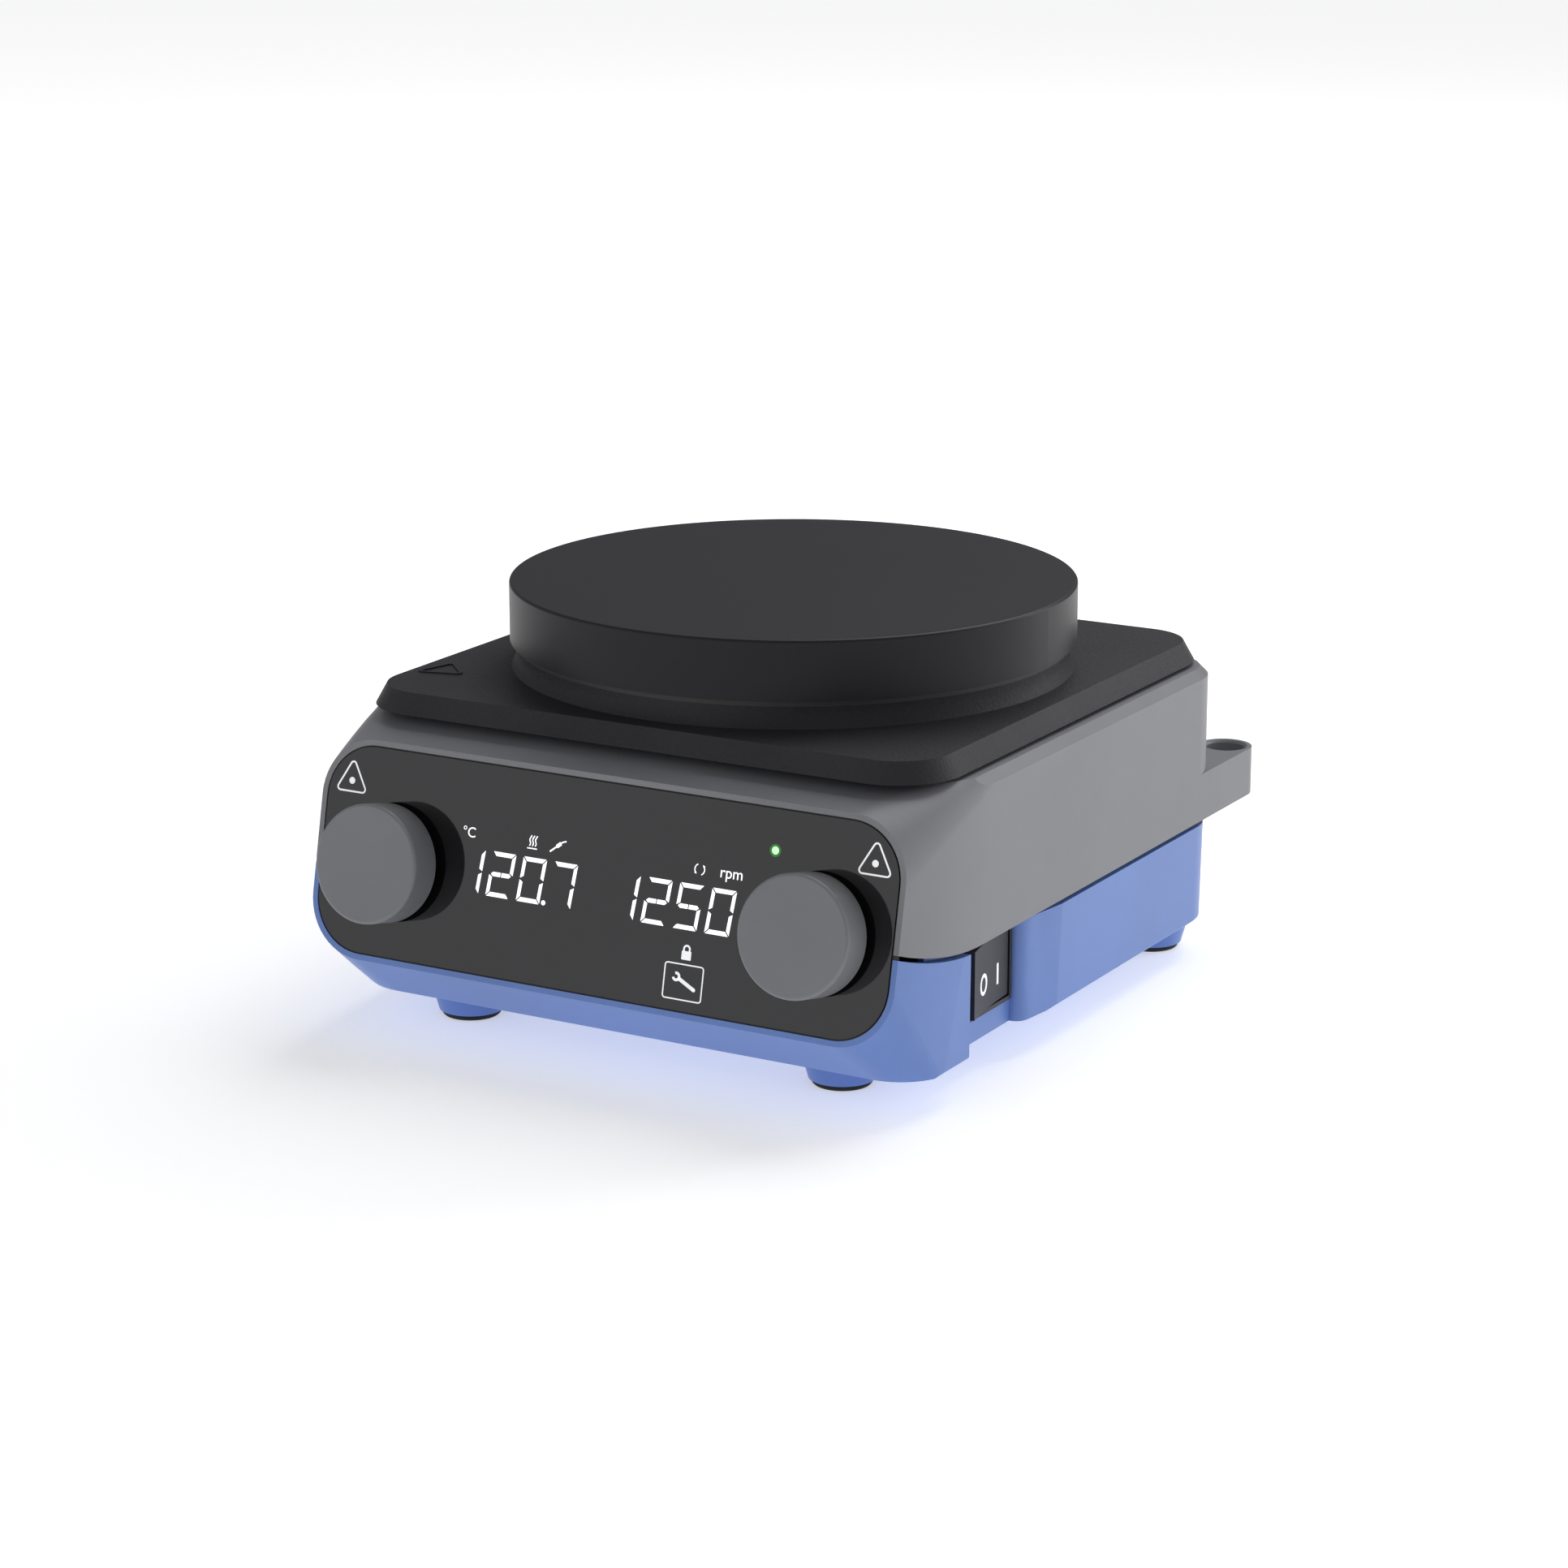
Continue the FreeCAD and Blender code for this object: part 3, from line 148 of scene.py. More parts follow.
def moulded(name, colour, roughness, grain_scale, grain_strength, grain_distance=0.00004, variation=0.05,
            metallic=0.0, specular=0.5):
    """Satin surface: a fine grain in the relief, cloudy variation in colour and in gloss."""
    material, tree, shader = new_material(name)
    space = object_space(tree, 1.0)
    cloud = noise(tree, space, 22.0, 4.0, 0.6)
    fine = noise(tree, space, grain_scale, 2.0, 0.55)
    tint = ramp(tree, cloud, 0.35, 0.65, shade(colour, 1 - variation), shade(colour, 1 + variation))
    tree.links.new(tint, shader.inputs["Base Color"])
    tree.links.new(spread(tree, cloud, roughness - 0.03, roughness + 0.05), shader.inputs["Roughness"])
    shader.inputs["Metallic"].default_value = metallic
    shader.inputs["Specular IOR Level"].default_value = specular
    bump(tree, shader, fine, grain_strength, grain_distance)
    return material


def leather_grain(name, colour, roughness):
    """Black moulding with the pebbled grain of an etched tool."""
    material, tree, shader = new_material(name)
    space = object_space(tree, 1.0)
    cells = add(tree, "ShaderNodeTexVoronoi", Scale=1100.0, feature="SMOOTH_F1", Smoothness=0.6)
    tree.links.new(space, cells.inputs["Vector"])
    fine = noise(tree, space, 2600.0, 2.0, 0.5)
    mix = add(tree, "ShaderNodeMath", operation="ADD")
    tree.links.new(cells.outputs["Distance"], mix.inputs[0])
    tree.links.new(fine, mix.inputs[1])
    cloud = noise(tree, space, 30.0, 3.0, 0.55)
    tree.links.new(ramp(tree, cloud, 0.3, 0.7, shade(colour, 0.9), shade(colour, 1.15)),
                   shader.inputs["Base Color"])
    tree.links.new(spread(tree, fine, roughness - 0.05, roughness + 0.08), shader.inputs["Roughness"])
    shader.inputs["Specular IOR Level"].default_value = 0.18
    bump(tree, shader, mix.outputs["Value"], 0.55, 0.00012)
    return material


def brushed(name, colour, roughness, metallic=1.0, stretch=(40.0, 900.0, 900.0)):
    """Metal with fine drawn lines."""
    material, tree, shader = new_material(name)
    coords = add(tree, "ShaderNodeTexCoord")
    mapping = add(tree, "ShaderNodeMapping")
    mapping.inputs["Scale"].default_value = stretch
    tree.links.new(coords.outputs["Object"], mapping.inputs["Vector"])
    lines = noise(tree, mapping.outputs["Vector"], 1.0, 3.0, 0.6)
    tree.links.new(ramp(tree, lines, 0.3, 0.7, shade(colour, 0.85), shade(colour, 1.1)),
                   shader.inputs["Base Color"])
    tree.links.new(spread(tree, lines, roughness - 0.06, roughness + 0.1), shader.inputs["Roughness"])
    shader.inputs["Metallic"].default_value = metallic
    bump(tree, shader, lines, 0.12, 0.00002)
    return material


def glow(name, colour, strength):
    """Lit graphic on a display: even light with a little unevenness of its backlight; on plain print, which has no
    backlight, this glow is painted light.
    """
    material, tree, shader = new_material(name)
    space = object_space(tree, 1.0)
    cloud = noise(tree, space, 90.0, 2.0, 0.5)
    tint = ramp(tree, cloud, 0.3, 0.7, shade(colour, 0.93), shade(colour, 1.0))
    tree.links.new(tint, shader.inputs["Base Color"])
    tree.links.new(tint, shader.inputs["Emission Color"])
    shader.inputs["Emission Strength"].default_value = strength
    shader.inputs["Roughness"].default_value = 0.4
    return material


# ---------------------------------------------------------------- materials
grey_housing = moulded("grey_housing", (0.212, 0.214, 0.23), 0.42, 1500.0, 0.22)
blue_base = moulded("blue_base", (0.13, 0.232, 0.565), 0.36, 1500.0, 0.18)
black_cover = leather_grain("black_cover", (0.031, 0.031, 0.035), 0.48)
plate_coating = moulded("plate_coating", (0.0125, 0.0125, 0.0155), 0.4, 2200.0, 0.25, 0.00003, specular=0.24)
panel_gloss = moulded("panel_gloss", (0.0035, 0.0035, 0.0042), 0.04, 60.0, 0.01, 0.00002, 0.2, specular=0.8)
knob_grey = moulded("knob_grey", (0.195, 0.198, 0.21), 0.4, 1700.0, 0.2)
switch_black = moulded("switch_black", (0.01, 0.01, 0.012), 0.4, 1400.0, 0.2)
rocker_black = moulded("rocker_black", (0.022, 0.023, 0.029), 0.42, 1400.0, 0.2, specular=0.35)
seal_rubber = moulded("seal_rubber", (0.03, 0.028, 0.026), 0.55, 900.0, 0.4)
foot_rubber = moulded("foot_rubber", (0.014, 0.014, 0.015), 0.75, 900.0, 0.5)
bright_steel = brushed("bright_steel", (0.62, 0.62, 0.64), 0.28)
cast_aluminium = brushed("cast_aluminium", (0.7, 0.7, 0.71), 0.42, 1.0, (1900.0, 1900.0, 1900.0))
brass_contact = brushed("brass_contact", (0.78, 0.58, 0.28), 0.3)
copper_winding = brushed("copper_winding", (0.75, 0.36, 0.18), 0.35, 1.0, (60.0, 60.0, 2600.0))
iron_core = brushed("iron_core", (0.16, 0.16, 0.17), 0.45, 0.8, (40.0, 40.0, 2400.0))
magnet_nickel = brushed("magnet_nickel", (0.7, 0.69, 0.66), 0.18)
ceramic_white = moulded("ceramic_white", (0.78, 0.77, 0.72), 0.5, 900.0, 0.2)
mineral_wool = moulded("mineral_wool", (0.6, 0.57, 0.48), 0.95, 500.0, 1.0, 0.0004, 0.2)
board_green = moulded("board_green", (0.02, 0.14, 0.06), 0.35, 500.0, 0.3, 0.00005, 0.25)
display_black = moulded("display_black", (0.01, 0.01, 0.011), 0.15, 400.0, 0.05)
capacitor_sleeve = moulded("capacitor_sleeve", (0.03, 0.05, 0.14), 0.25, 500.0, 0.15)
# White print on the rocker and in the service and corner marks, given a painted glow: print gives no light of its
# own.
print_white_painted_glow = glow("print_white_painted_glow", (0.86, 0.87, 0.88), 0.42)
digit_light = glow("digit_light", (0.95, 0.96, 1.0), 0.85)
light_green = glow("light_green", (0.45, 0.9, 0.42), 1.0)
ring_green = glow("ring_green", (0.02, 0.16, 0.02), 0.6)

NODE_MATERIALS = {
    "grey_housing": grey_housing, "blue_plastic": blue_base, "black_cover": black_cover,
    "plate_coating": plate_coating, "seal_rubber": seal_rubber, "ceramic_white": ceramic_white,
    "mineral_wool": mineral_wool, "bright_steel": bright_steel, "cast_aluminium": cast_aluminium,
    "copper_winding": copper_winding, "panel_gloss": panel_gloss, "board_green": board_green,
    "display_black": display_black, "light_green": light_green, "switch_black": switch_black,
    "rocker_black": rocker_black, "brass_contact": brass_contact, "iron_core": iron_core,
    "capacitor_sleeve": capacitor_sleeve, "foot_rubber": foot_rubber, "magnet_nickel": magnet_nickel,
    "knob_grey": knob_grey,
}

for part in frame["record"]["subparts"]:
    mesh = nodes[part["node"]].data
    mesh.materials.clear()
    mesh.materials.append(NODE_MATERIALS[part["material_slot"]])


# ---------------------------------------------------------------- flat graphics, built as thin solids
def finish_mesh(name, bm, place, material, body):
    """Turns a built mesh into a named piece that rides on a body."""
    mesh = bpy.data.meshes.new(name)
    bmesh.ops.recalc_face_normals(bm, faces=bm.faces)
    bm.to_mesh(mesh)
    bm.free()
    mesh.transform(place)
    mesh.materials.append(material)
    piece = bpy.data.objects.new(name, mesh)
    bpy.context.scene.collection.objects.link(piece)
    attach(piece, body)
    return piece


def slab(bm, outline, low, high, holes=()):
    """Solid between two levels over a flat outline of (x, y) points; holes is one inner ring with as many."""
    count = len(outline)
    bottom = [bm.verts.new((x, y, low)) for x, y in outline]
    top = [bm.verts.new((x, y, high)) for x, y in outline]
    for index in range(count):
        after = (index + 1) % count
        bm.faces.new((bottom[index], bottom[after], top[after], top[index]))
    if not holes:
        bm.faces.new(top)
        bm.faces.new(list(reversed(bottom)))
        return
    inner_bottom = [bm.verts.new((x, y, low)) for x, y in holes]
    inner_top = [bm.verts.new((x, y, high)) for x, y in holes]
    for index in range(count):
        after = (index + 1) % count
        bm.faces.new((inner_bottom[after], inner_bottom[index], inner_top[index], inner_top[after]))
        bm.faces.new((top[index], top[after], inner_top[after], inner_top[index]))
        bm.faces.new((bottom[after], bottom[index], inner_bottom[index], inner_bottom[after]))


def rounded_polygon(corners, radius, steps=5):
    """Closed outline through corners, each turned into an arc of the radius."""
    points = []
    count = len(corners)
    for index in range(count):
        here = Vector(corners[index])
        before = (Vector(corners[index - 1]) - here).normalized()
        after = (Vector(corners[(index + 1) % count]) - here).normalized()
        half = before.angle(after) / 2
        reach = radius / math.tan(half)
        middle = here + (before + after).normalized() * (radius / math.sin(half))
        start = here + before * reach - middle
        end = here + after * reach - middle
        for step in range(steps + 1):
            share = step / steps
            direction = start.normalized().slerp(end.normalized(), share)
            points.append(tuple(middle + direction * radius))
    return points


def frame_ring(bm, corners, radius, width, low, high):
    """Line of even width that follows a rounded outline."""
    outer = rounded_polygon(corners, radius)
    inset = []
    count = len(corners)
    for index in range(count):
        here = Vector(corners[index])
        before = (Vector(corners[index - 1]) - here).normalized()
        after = (Vector(corners[(index + 1) % count]) - here).normalized()
        half = before.angle(after) / 2
        inset.append(here + (before + after).normalized() * (width / math.sin(half)))
    inner = rounded_polygon([tuple(p) for p in inset], max(radius - width, radius * 0.2))
    slab(bm, outer, low, high, inner)


def stroke(bm, points, width, low, high):
    """Line of even width along open points, with square ends."""
    left = []
    right = []
    for index, point in enumerate(points):
        here = Vector(point)
        before = Vector(points[max(index - 1, 0)])
        after = Vector(points[min(index + 1, len(points) - 1)])
        side = (after - before).normalized()
        side = Vector((-side.y, side.x)) * width / 2
        left.append(tuple(here + side))
        right.append(tuple(here - side))
    for index in range(len(points) - 1):
        slab(bm, [right[index], right[index + 1], left[index + 1], left[index]], low, high)


def arc_points(cx, cy, radius, start, end, steps=16):
    """Points along an arc between two angles in degrees."""
    points = []
    for step in range(steps + 1):
        angle = math.radians(start + (end - start) * step / steps)
        points.append((cx + radius * math.cos(angle), cy + radius * math.sin(angle)))
    return points


PRINT_LOW = 0.01 * MM
PRINT_HIGH = 0.05 * MM
DIGIT_HEIGHT = 10.3 * MM
DIGIT_WIDTH = 6.25 * MM
DIGIT_PITCH = 8.26 * MM
BAR_FLAT = 1.0 * MM           # thickness of the level bars
BAR_UPRIGHT = 0.86 * MM       # thickness of the upright bars
DIGIT_GAP = 0.13 * MM
DIGIT_SLANT = math.tan(math.radians(5.8))
POINT_RADIUS = 0.56 * MM
SEGMENTS = {
    "0": "abcdef", "1": "bc", "2": "abged", "3": "abgcd", "4": "fgbc", "5": "afgcd", "6": "afgedc",
    "7": "abc", "8": "abcdefg", "9": "abcdfg",
}


def segment_outlines(letter):
    """Outlines of one bar of a seven-bar digit, mitred at its ends, in the digit's own upright frame."""
    w, h, t, u, g = DIGIT_WIDTH / 2, DIGIT_HEIGHT / 2, BAR_FLAT, BAR_UPRIGHT, DIGIT_GAP
    if letter == "g":
        halves = []
        for side in (-1, 1):
            tip, shoulder, inner = side * (w - u * 0.35 - g), side * (w - u - g), side * g
            halves.append([(tip, 0.0), (shoulder, t / 2), (inner, t / 2),
                           (inner, -t / 2), (shoulder, -t / 2)])
        return halves
    if letter in "ad":
        side = 1 if letter == "a" else -1
        outer, inner = side * h, side * (h - t)
        long_half, short_half = w - 1.5 * g, w - u - 1.5 * g
        return [[(-long_half, outer), (long_half, outer), (short_half, inner), (-short_half, inner)]]
    across = 1 if letter in "bc" else -1
    up = 1 if letter in "bf" else -1
    outer, inner = across * w, across * (w - u)
    return [[(outer, up * (h - 1.5 * g)), (inner, up * (h - t - 1.5 * g)), (inner, up * (t / 2 + 1.5 * g)),
             (outer, up * 1.5 * g)]]


def number(name, text, x, y):
    """Lit number whose first digit's centre is at x, y on the panel."""
    bm = bmesh.new()
    place = x
    for character in text:
        if character == ".":
            dot_y = y - DIGIT_HEIGHT / 2 + POINT_RADIUS
            dot_x = place - DIGIT_PITCH / 2 + 0.08 * MM - DIGIT_HEIGHT / 2 * DIGIT_SLANT
            slab(bm, arc_points(dot_x, dot_y, POINT_RADIUS, 0, 345, 23), PRINT_LOW, PRINT_HIGH)
            continue
        for letter in SEGMENTS[character]:
            for bar in segment_outlines(letter):
                outline = [(place + px + (py * DIGIT_SLANT), y + py) for px, py in bar]
                slab(bm, outline, PRINT_LOW, PRINT_HIGH)
        place += DIGIT_PITCH
    return finish_mesh(name, bm, PANEL, digit_light, "housing")


def unit_label(name, text, x, y, size, material):
    """Short generic unit, such as a degree sign with C, as thin raised lettering."""
    curve = bpy.data.curves.new(name + "_curve", "FONT")
    curve.body = text
    curve.size = size
    curve.extrude = (PRINT_HIGH - PRINT_LOW) / 2
    holder = bpy.data.objects.new(name + "_holder", curve)
    bpy.context.scene.collection.objects.link(holder)
    bpy.context.view_layer.update()
    mesh = bpy.data.meshes.new_from_object(holder.evaluated_get(bpy.context.evaluated_depsgraph_get()))
    bpy.data.objects.remove(holder)
    bm = bmesh.new()
    bm.from_mesh(mesh)
    bpy.data.meshes.remove(mesh)
    bmesh.ops.remove_doubles(bm, verts=bm.verts, dist=1e-6)
    level = (PRINT_HIGH + PRINT_LOW) / 2
    bmesh.ops.translate(bm, verts=bm.verts, vec=(x, y, level))
    return finish_mesh(name, bm, PANEL, material, "housing")


def heat_waves(bm, x, y, height, gap, width):
    """Three small rising waves over a line."""
    for index in (-1, 0, 1):
        points = []
        for step in range(13):
            share = step / 12
            sway = 0.24 * gap * math.sin(share * 2 * math.pi * 1.25) + 0.3 * gap * share
            points.append((x + index * gap + sway, y - height / 2 + height * share))
        stroke(bm, points, width, PRINT_LOW, PRINT_HIGH)
    floor_y = y - height / 2 - 0.55 * MM
    stroke(bm, [(x - gap * 1.75, floor_y), (x + gap * 1.75, floor_y)], width, PRINT_LOW, PRINT_HIGH)


def rotation_mark(bm, x, y, radius, width):
    """Two short arcs chasing each other."""
    for start in (115, -65):
        stroke(bm, arc_points(x, y, radius, start, start + 105), width, PRINT_LOW, PRINT_HIGH)
        angle = math.radians(start + 112)
        tip = Vector((x + radius * math.cos(angle), y + radius * math.sin(angle)))
        along = Vector((-math.sin(angle), math.cos(angle)))
        across = Vector((math.cos(angle), math.sin(angle)))
        base = tip - along * width * 1.6
        slab(bm, [tuple(base + across * width * 1.1), tuple(tip + along * width * 0.8),
                  tuple(base - across * width * 1.1)], PRINT_LOW, PRINT_HIGH)


def probe_mark(bm, x, y):
    """Slanted probe: a thin rod, a thicker grip and a short lead; x, y is the foot of the rod."""
    def along(points):
        return [(x + px * MM, y + py * MM) for px, py in points]
    stroke(bm, along([(0.0, 0.0), (2.0, 1.55)]), 0.36 * MM, PRINT_LOW, PRINT_HIGH)
    stroke(bm, along([(1.7, 1.32), (2.75, 2.15)]), 0.85 * MM, PRINT_LOW, PRINT_HIGH)
    stroke(bm, along([(2.6, 2.05), (3.15, 2.5), (3.6, 2.62), (4.1, 2.8)]), 0.3 * MM, PRINT_LOW, PRINT_HIGH)


def lock_mark(bm, x, y, size):
    """Closed padlock."""
    body = [(x - size * 0.36, y - size * 0.5), (x + size * 0.36, y - size * 0.5),
            (x + size * 0.36, y + size * 0.08), (x - size * 0.36, y + size * 0.08)]
    slab(bm, rounded_polygon(body, size * 0.06, 3), PRINT_LOW, PRINT_HIGH)
    bow = [(x - size * 0.22, y + size * 0.05)]
    bow += list(reversed(arc_points(x, y + size * 0.22, size * 0.22, 0, 180, 12)))
    bow += [(x + size * 0.22, y + size * 0.05)]
    stroke(bm, bow, size * 0.13, PRINT_LOW, PRINT_HIGH)


def wrench_mark(bm, jaw, end):
    """Open-ended spanner from the middle of its jaw to the end of its handle."""
    jaw, end = Vector(jaw), Vector(end)
    direction = (end - jaw).normalized()
    stroke(bm, [tuple(jaw + direction * 0.7 * MM), tuple(end)], 0.86 * MM, PRINT_LOW, PRINT_HIGH)
    slab(bm, arc_points(end.x, end.y, 0.43 * MM, 0, 345, 23), PRINT_LOW, PRINT_HIGH)
    opening = math.degrees(math.atan2(-direction.y, -direction.x))
    stroke(bm, arc_points(jaw.x, jaw.y, 0.78 * MM, opening + 42, opening + 318, 18), 0.62 * MM,
           PRINT_LOW, PRINT_HIGH)


LIGHT_RING = (0.9 * MM, 1.42 * MM)    # inner and outer radius


def light_ring():
    """Green rim around the status light."""
    points = [PANEL.inverted() @ v.co for v in nodes["status_light"].data.vertices]
    face = max(p.z for p in points)
    front = [p for p in points if p.z > face - 0.3 * MM]
    place = sum(front, Vector((0, 0, 0))) / len(front)
    bm = bmesh.new()
    outer = arc_points(place.x, place.y, LIGHT_RING[1], 0, 352.5, 47)
    inner = arc_points(place.x, place.y, LIGHT_RING[0], 0, 352.5, 47)
    slab(bm, outer, PRINT_LOW, PRINT_HIGH, inner)
    finish_mesh("light_ring", bm, PANEL, ring_green, "housing")


READING_LEVEL = -0.61 * MM
TEMPERATURE_START = -34.09 * MM       # centre of each reading's first digit
SPEED_START = 7.24 * MM
CORNER_MARKS = (("left_corner_mark", -68.8 * MM), ("right_corner_mark", 68.9 * MM))
CORNER_MARK_BASE = 12.7 * MM
CORNER_MARK_TOP = 21.0 * MM
CORNER_MARK_HALF = 4.7 * MM
CORNER_DOT = (15.4 * MM, 0.8 * MM)    # height of its middle, and its radius
UNITS = (("degree_unit", "°C", -37.2 * MM, 6.85 * MM, 3.3 * MM),
         ("speed_unit", "rpm", 30.8 * MM, 7.05 * MM, 3.6 * MM))
HEAT_WAVES_AT = (-18.25 * MM, 8.3 * MM)
PROBE_AT = (-13.45 * MM, 6.55 * MM)
ROTATION_AT = (25.67 * MM, 8.0 * MM)
LOCK_AT = (24.5 * MM, -10.7 * MM)
SERVICE_LEFT, SERVICE_RIGHT = 19.25 * MM, 29.4 * MM
SERVICE_BOTTOM, SERVICE_TOP = -21.5 * MM, -13.3 * MM
WRENCH_JAW = (22.45 * MM, -16.35 * MM)
WRENCH_END = (27.2 * MM, -18.75 * MM)


def panel_graphics():
    """Readings, units, icons and plain corner marks, placed from the panel's middle."""
    number("temperature_reading", "120.7", TEMPERATURE_START, READING_LEVEL)
    number("speed_reading", "1250", SPEED_START, READING_LEVEL)
    for name, text, x, y, size in UNITS:
        unit_label(name, text, x, y, size, digit_light)
    bm = bmesh.new()
    heat_waves(bm, *HEAT_WAVES_AT, height=2.4 * MM, gap=0.75 * MM, width=0.26 * MM)
    probe_mark(bm, *PROBE_AT)
    rotation_mark(bm, *ROTATION_AT, radius=1.25 * MM, width=0.24 * MM)
    finish_mesh("display_marks", bm, PANEL, digit_light, "housing")
    bm = bmesh.new()
    lock_mark(bm, *LOCK_AT, size=3.4 * MM)
    box_corners = [(SERVICE_LEFT, SERVICE_BOTTOM), (SERVICE_RIGHT, SERVICE_BOTTOM),
                   (SERVICE_RIGHT, SERVICE_TOP), (SERVICE_LEFT, SERVICE_TOP)]
    frame_ring(bm, box_corners, 0.8 * MM, 0.3 * MM, PRINT_LOW, PRINT_HIGH)
    wrench_mark(bm, WRENCH_JAW, WRENCH_END)
    # The lock, service box and spanner are white print with a painted glow.
    finish_mesh("service_marks", bm, PANEL, print_white_painted_glow, "housing")
    for name, x in CORNER_MARKS:
        bm = bmesh.new()
        corners = [(x - CORNER_MARK_HALF, CORNER_MARK_BASE), (x + CORNER_MARK_HALF, CORNER_MARK_BASE),
                   (x, CORNER_MARK_TOP)]
        frame_ring(bm, corners, 0.95 * MM, 0.4 * MM, PRINT_LOW, PRINT_HIGH)
        slab(bm, arc_points(x, *CORNER_DOT, 0, 345, 23), PRINT_LOW, PRINT_HIGH)
        # The corner marks are white print with a painted glow.
        finish_mesh(name, bm, PANEL, print_white_painted_glow, "housing")
    light_ring()


panel_graphics()


# ---------------------------------------------------------------- rocker marks
ROCKER_FACE = 3.7 * MM        # middle of the face in front of the pivot
ROCKER_DISH = 0.5 * MM        # its ends stand this much further out
ROCKER_HALF = 10.7 * MM


def rocker_marks():
    """O and I laid on the rocker's dished face, in the position it rests in."""
    swing = math.radians(joint("power_rocker_tilt")["range_deg"][1] / 2)
    pivot = Vector(joint("power_rocker_tilt")["pos_m"])
    turn = Matrix.Rotation(swing, 4, "Z")
    across_up_out = Matrix(((0, 0, 1, 0), (1, 0, 0, 0), (0, 1, 0, 0), (0, 0, 0, 1)))
    place = Matrix.Translation(pivot) @ turn @ across_up_out
    bm = bmesh.new()
    circle = arc_points(0, 0, 1.0, 0, 352.5, 47)
    o_y, i_y, level_z = -3.8 * MM, 5.1 * MM, -1.6 * MM
    bar_half, bar_reach = 0.48 * MM, 2.5 * MM
    sunk, proud = -0.1 * MM, 0.03 * MM
    ring_out = [(o_y + p[0] * 2.4 * MM, level_z + p[1] * 2.55 * MM) for p in circle]
    ring_in = [(o_y + p[0] * 1.45 * MM, level_z + p[1] * 1.7 * MM) for p in circle]
    slab(bm, ring_out, sunk, proud, ring_in)
    bar = [(i_y - bar_half, level_z - bar_reach), (i_y + bar_half, level_z - bar_reach),
           (i_y + bar_half, level_z + bar_reach), (i_y - bar_half, level_z + bar_reach)]
    slab(bm, bar, sunk, proud)
    for vertex in bm.verts:
        vertex.co.z += ROCKER_FACE + ROCKER_DISH * (vertex.co.x / ROCKER_HALF) ** 2
    # The O and I are white print with a painted glow.
    finish_mesh("rocker_marks", bm, place, print_white_painted_glow, "power_rocker")


rocker_marks()


# ---------------------------------------------------------------- raised mark on the splash cover
COLLAR_HEIGHT = 5.0 * MM      # the collar stands this much above the cover's flat top
COVER_MARK_FROM_CORNER = (9.6 * MM, 25.4 * MM)
COVER_MARK_TURN = math.radians(15)


def cover_mark():
    """Plain raised triangle near the cover's front left corner."""
    low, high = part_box("splash_cover")
    top = high.z - COLLAR_HEIGHT
    bm = bmesh.new()
    corners = [(-6.3 * MM, -4.4 * MM), (6.3 * MM, -4.4 * MM), (0.0, 6.6 * MM)]
    frame_ring(bm, corners, 1.2 * MM, 0.8 * MM, -0.1 * MM, 0.35 * MM)
    place = Matrix.Translation((low.x + COVER_MARK_FROM_CORNER[0], low.y + COVER_MARK_FROM_CORNER[1], top))
    place = place @ Matrix.Rotation(COVER_MARK_TURN, 4, "Z")
    finish_mesh("cover_mark", bm, place, black_cover, "housing")


# ---------------------------------------------------------------- floor, light and camera
FLOOR_REACH = 3.0
FLOOR_SIDES = 64
FLOOR_THICKNESS = 0.02
FLOOR_GLOW = (0.47, 0.66)     # beside the object, and far from it
FLOOR_RISE = (0.3, 1.6)       # distances between which the glow rises
WORLD_BASE = 0.16
WORLD_COLOUR = (0.97, 0.975, 1.0, 1.0)
# direction, cosines at which its light starts and is full, strength
WORLD_LOBES = (
    ((-0.5, -0.87, 0.12), 0.62, 0.88, 0.62),
    ((0.75, -0.65, 0.1), 0.0, 0.9, 0.12),
    ((1.0, 0.2, 0.1), 0.3, 0.95, 0.12),
    ((-0.9, 0.1, 0.1), 0.4, 0.9, 0.12),
)


def floor():
    """Round white floor that glows a little more away from the object."""
    bm = bmesh.new()
    outline = [(FLOOR_REACH * math.cos(2 * math.pi * i / FLOOR_SIDES),
                FLOOR_REACH * math.sin(2 * math.pi * i / FLOOR_SIDES)) for i in range(FLOOR_SIDES)]
    slab(bm, outline, -FLOOR_THICKNESS, 0.0)
    mesh = bpy.data.meshes.new("floor")
    bmesh.ops.recalc_face_normals(bm, faces=bm.faces)
    bm.to_mesh(mesh)
    bm.free()
    material, tree, shader = new_material("floor_paper")
    grain = noise(tree, object_space(tree, 1.0), 300.0, 3.0, 0.6)
    tree.links.new(ramp(tree, grain, 0.3, 0.7, (0.88, 0.88, 0.89), (0.92, 0.92, 0.92)),
                   shader.inputs["Base Color"])
    shader.inputs["Emission Color"].default_value = (1.0, 1.0, 1.0, 1.0)
    distance = add(tree, "ShaderNodeVectorMath", operation="LENGTH")
    tree.links.new(object_space(tree, 1.0), distance.inputs[0])
    glow_rise = add(tree, "ShaderNodeMapRange")
    glow_rise.inputs["From Min"].default_value = FLOOR_RISE[0]
    glow_rise.inputs["From Max"].default_value = FLOOR_RISE[1]
    glow_rise.inputs["To Min"].default_value = FLOOR_GLOW[0]
    glow_rise.inputs["To Max"].default_value = FLOOR_GLOW[1]
    tree.links.new(distance.outputs["Value"], glow_rise.inputs["Value"])
    tree.links.new(glow_rise.outputs["Result"], shader.inputs["Emission Strength"])
    shader.inputs["Roughness"].default_value = 0.8
    shader.inputs["Specular IOR Level"].default_value = 0.1
    mesh.materials.append(material)
    piece = bpy.data.objects.new("floor", mesh)
    bpy.context.scene.collection.objects.link(piece)


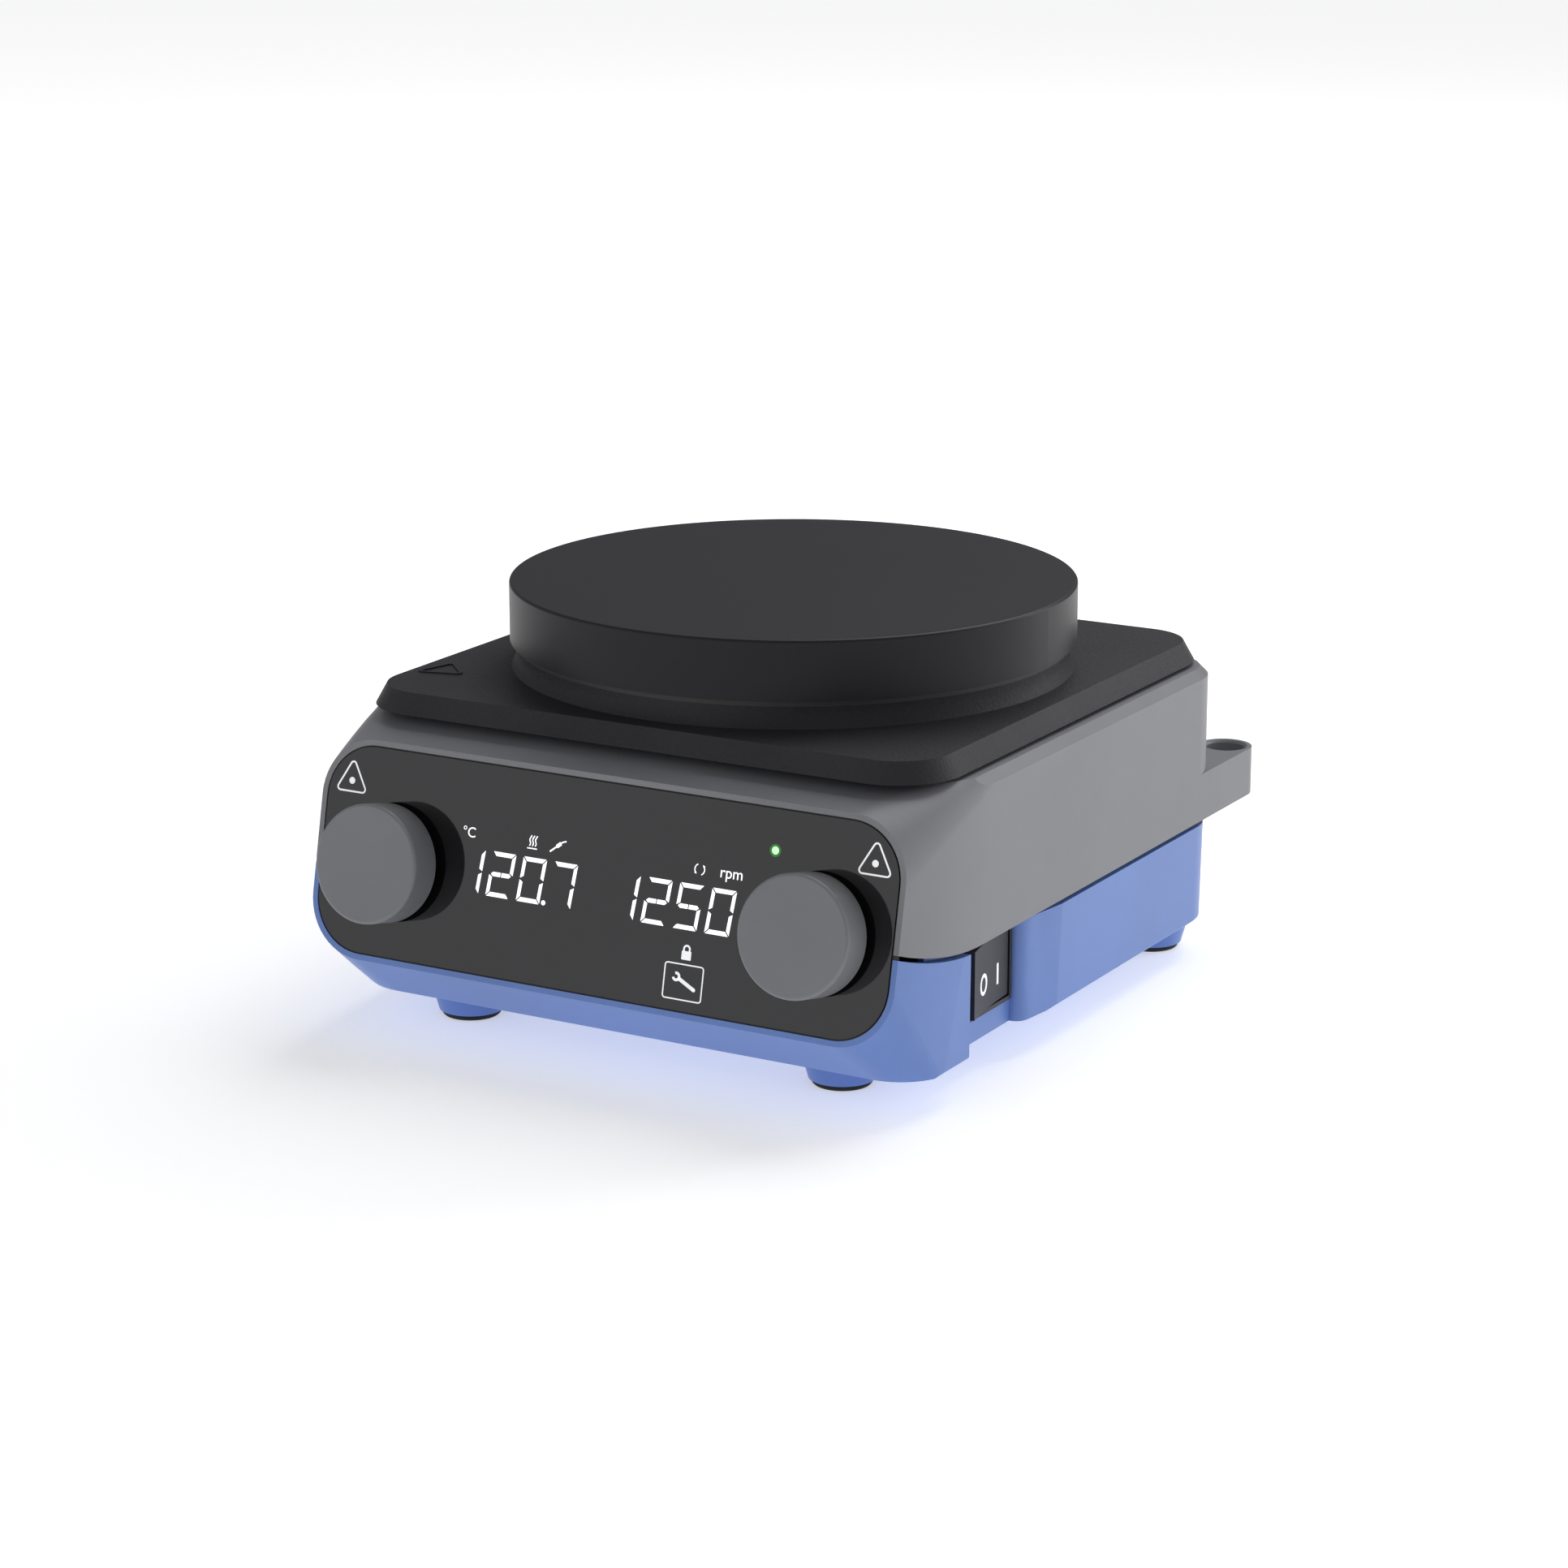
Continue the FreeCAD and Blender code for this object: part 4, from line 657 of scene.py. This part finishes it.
def world_light():
    """Studio surroundings: a bright wall ahead to the left, dimmer sides, dimmest behind and overhead."""
    world = bpy.data.worlds.new("studio")
    bpy.context.scene.world = world
    world.use_nodes = True
    tree = world.node_tree
    background = tree.nodes["Background"]
    coords = add(tree, "ShaderNodeTexCoord")
    total = add(tree, "ShaderNodeValue").outputs["Value"]
    total.default_value = WORLD_BASE
    for direction, start, end, strength in WORLD_LOBES:
        facing = add(tree, "ShaderNodeVectorMath", operation="DOT_PRODUCT")
        tree.links.new(coords.outputs["Generated"], facing.inputs[0])
        facing.inputs[1].default_value = Vector(direction).normalized()
        lobe = add(tree, "ShaderNodeMapRange", interpolation_type="SMOOTHSTEP")
        lobe.inputs["From Min"].default_value = start
        lobe.inputs["From Max"].default_value = end
        lobe.inputs["To Max"].default_value = strength
        tree.links.new(facing.outputs["Value"], lobe.inputs["Value"])
        joined = add(tree, "ShaderNodeMath", operation="ADD")
        tree.links.new(total, joined.inputs[0])
        tree.links.new(lobe.outputs["Result"], joined.inputs[1])
        total = joined.outputs["Value"]
    tree.links.new(total, background.inputs["Strength"])
    background.inputs["Color"].default_value = WORLD_COLOUR


def soft_box(name, place, target, width, height, power):
    """Rectangular lamp aimed at a target."""
    data = bpy.data.lights.new(name, "AREA")
    data.shape = "RECTANGLE"
    data.size = width
    data.size_y = height
    data.energy = power
    lamp = bpy.data.objects.new(name, data)
    bpy.context.scene.collection.objects.link(lamp)
    lamp.location = place
    lamp.rotation_mode = "QUATERNION"
    lamp.rotation_quaternion = (Vector(target) - Vector(place)).to_track_quat("-Z", "Y")


CAMERA_LENS = 96.53
CAMERA_SENSOR = 36.0
CAMERA_AZIMUTH = 29.88
CAMERA_ELEVATION = 15.2
CAMERA_DISTANCE = 1.01218
CAMERA_AIM = (-1.96 * MM, -1.13 * MM, 47.2 * MM)      # across from the plate's axis, and up from the floor


def camera():
    """Camera looking at the front right corner, slightly from above."""
    data = bpy.data.cameras.new("camera")
    data.sensor_width = CAMERA_SENSOR
    data.lens = CAMERA_LENS
    data.clip_start = 0.05
    data.clip_end = 20
    eye = bpy.data.objects.new("camera", data)
    bpy.context.scene.collection.objects.link(eye)
    azimuth = math.radians(CAMERA_AZIMUTH)
    elevation = math.radians(CAMERA_ELEVATION)
    target = Vector((plate_axis.x + CAMERA_AIM[0], plate_axis.y + CAMERA_AIM[1], CAMERA_AIM[2]))
    back = Vector((math.sin(azimuth) * math.cos(elevation), -math.cos(azimuth) * math.cos(elevation),
                   math.sin(elevation)))
    eye.location = target + back * CAMERA_DISTANCE
    eye.rotation_mode = "QUATERNION"
    eye.rotation_quaternion = (-back).to_track_quat("-Z", "Y")
    bpy.context.scene.camera = eye


cover_mark()
floor()
world_light()
OBJECT_MIDDLE = (0.0, 0.0, 0.05)
soft_box("top_box", (0.1, 0.9, 1.3), OBJECT_MIDDLE, width=1.2, height=1.2, power=13.0)
soft_box("right_box", (1.4, 0.6, 0.6), OBJECT_MIDDLE, width=0.9, height=1.1, power=2.4)
soft_box("rear_box", (0.75, 1.1, 0.45), (0.03, 0.03, 0.07), width=0.35, height=0.7, power=3.6)
camera()
bpy.context.scene.view_settings.view_transform = "Standard"
bpy.context.scene.view_settings.look = "None"
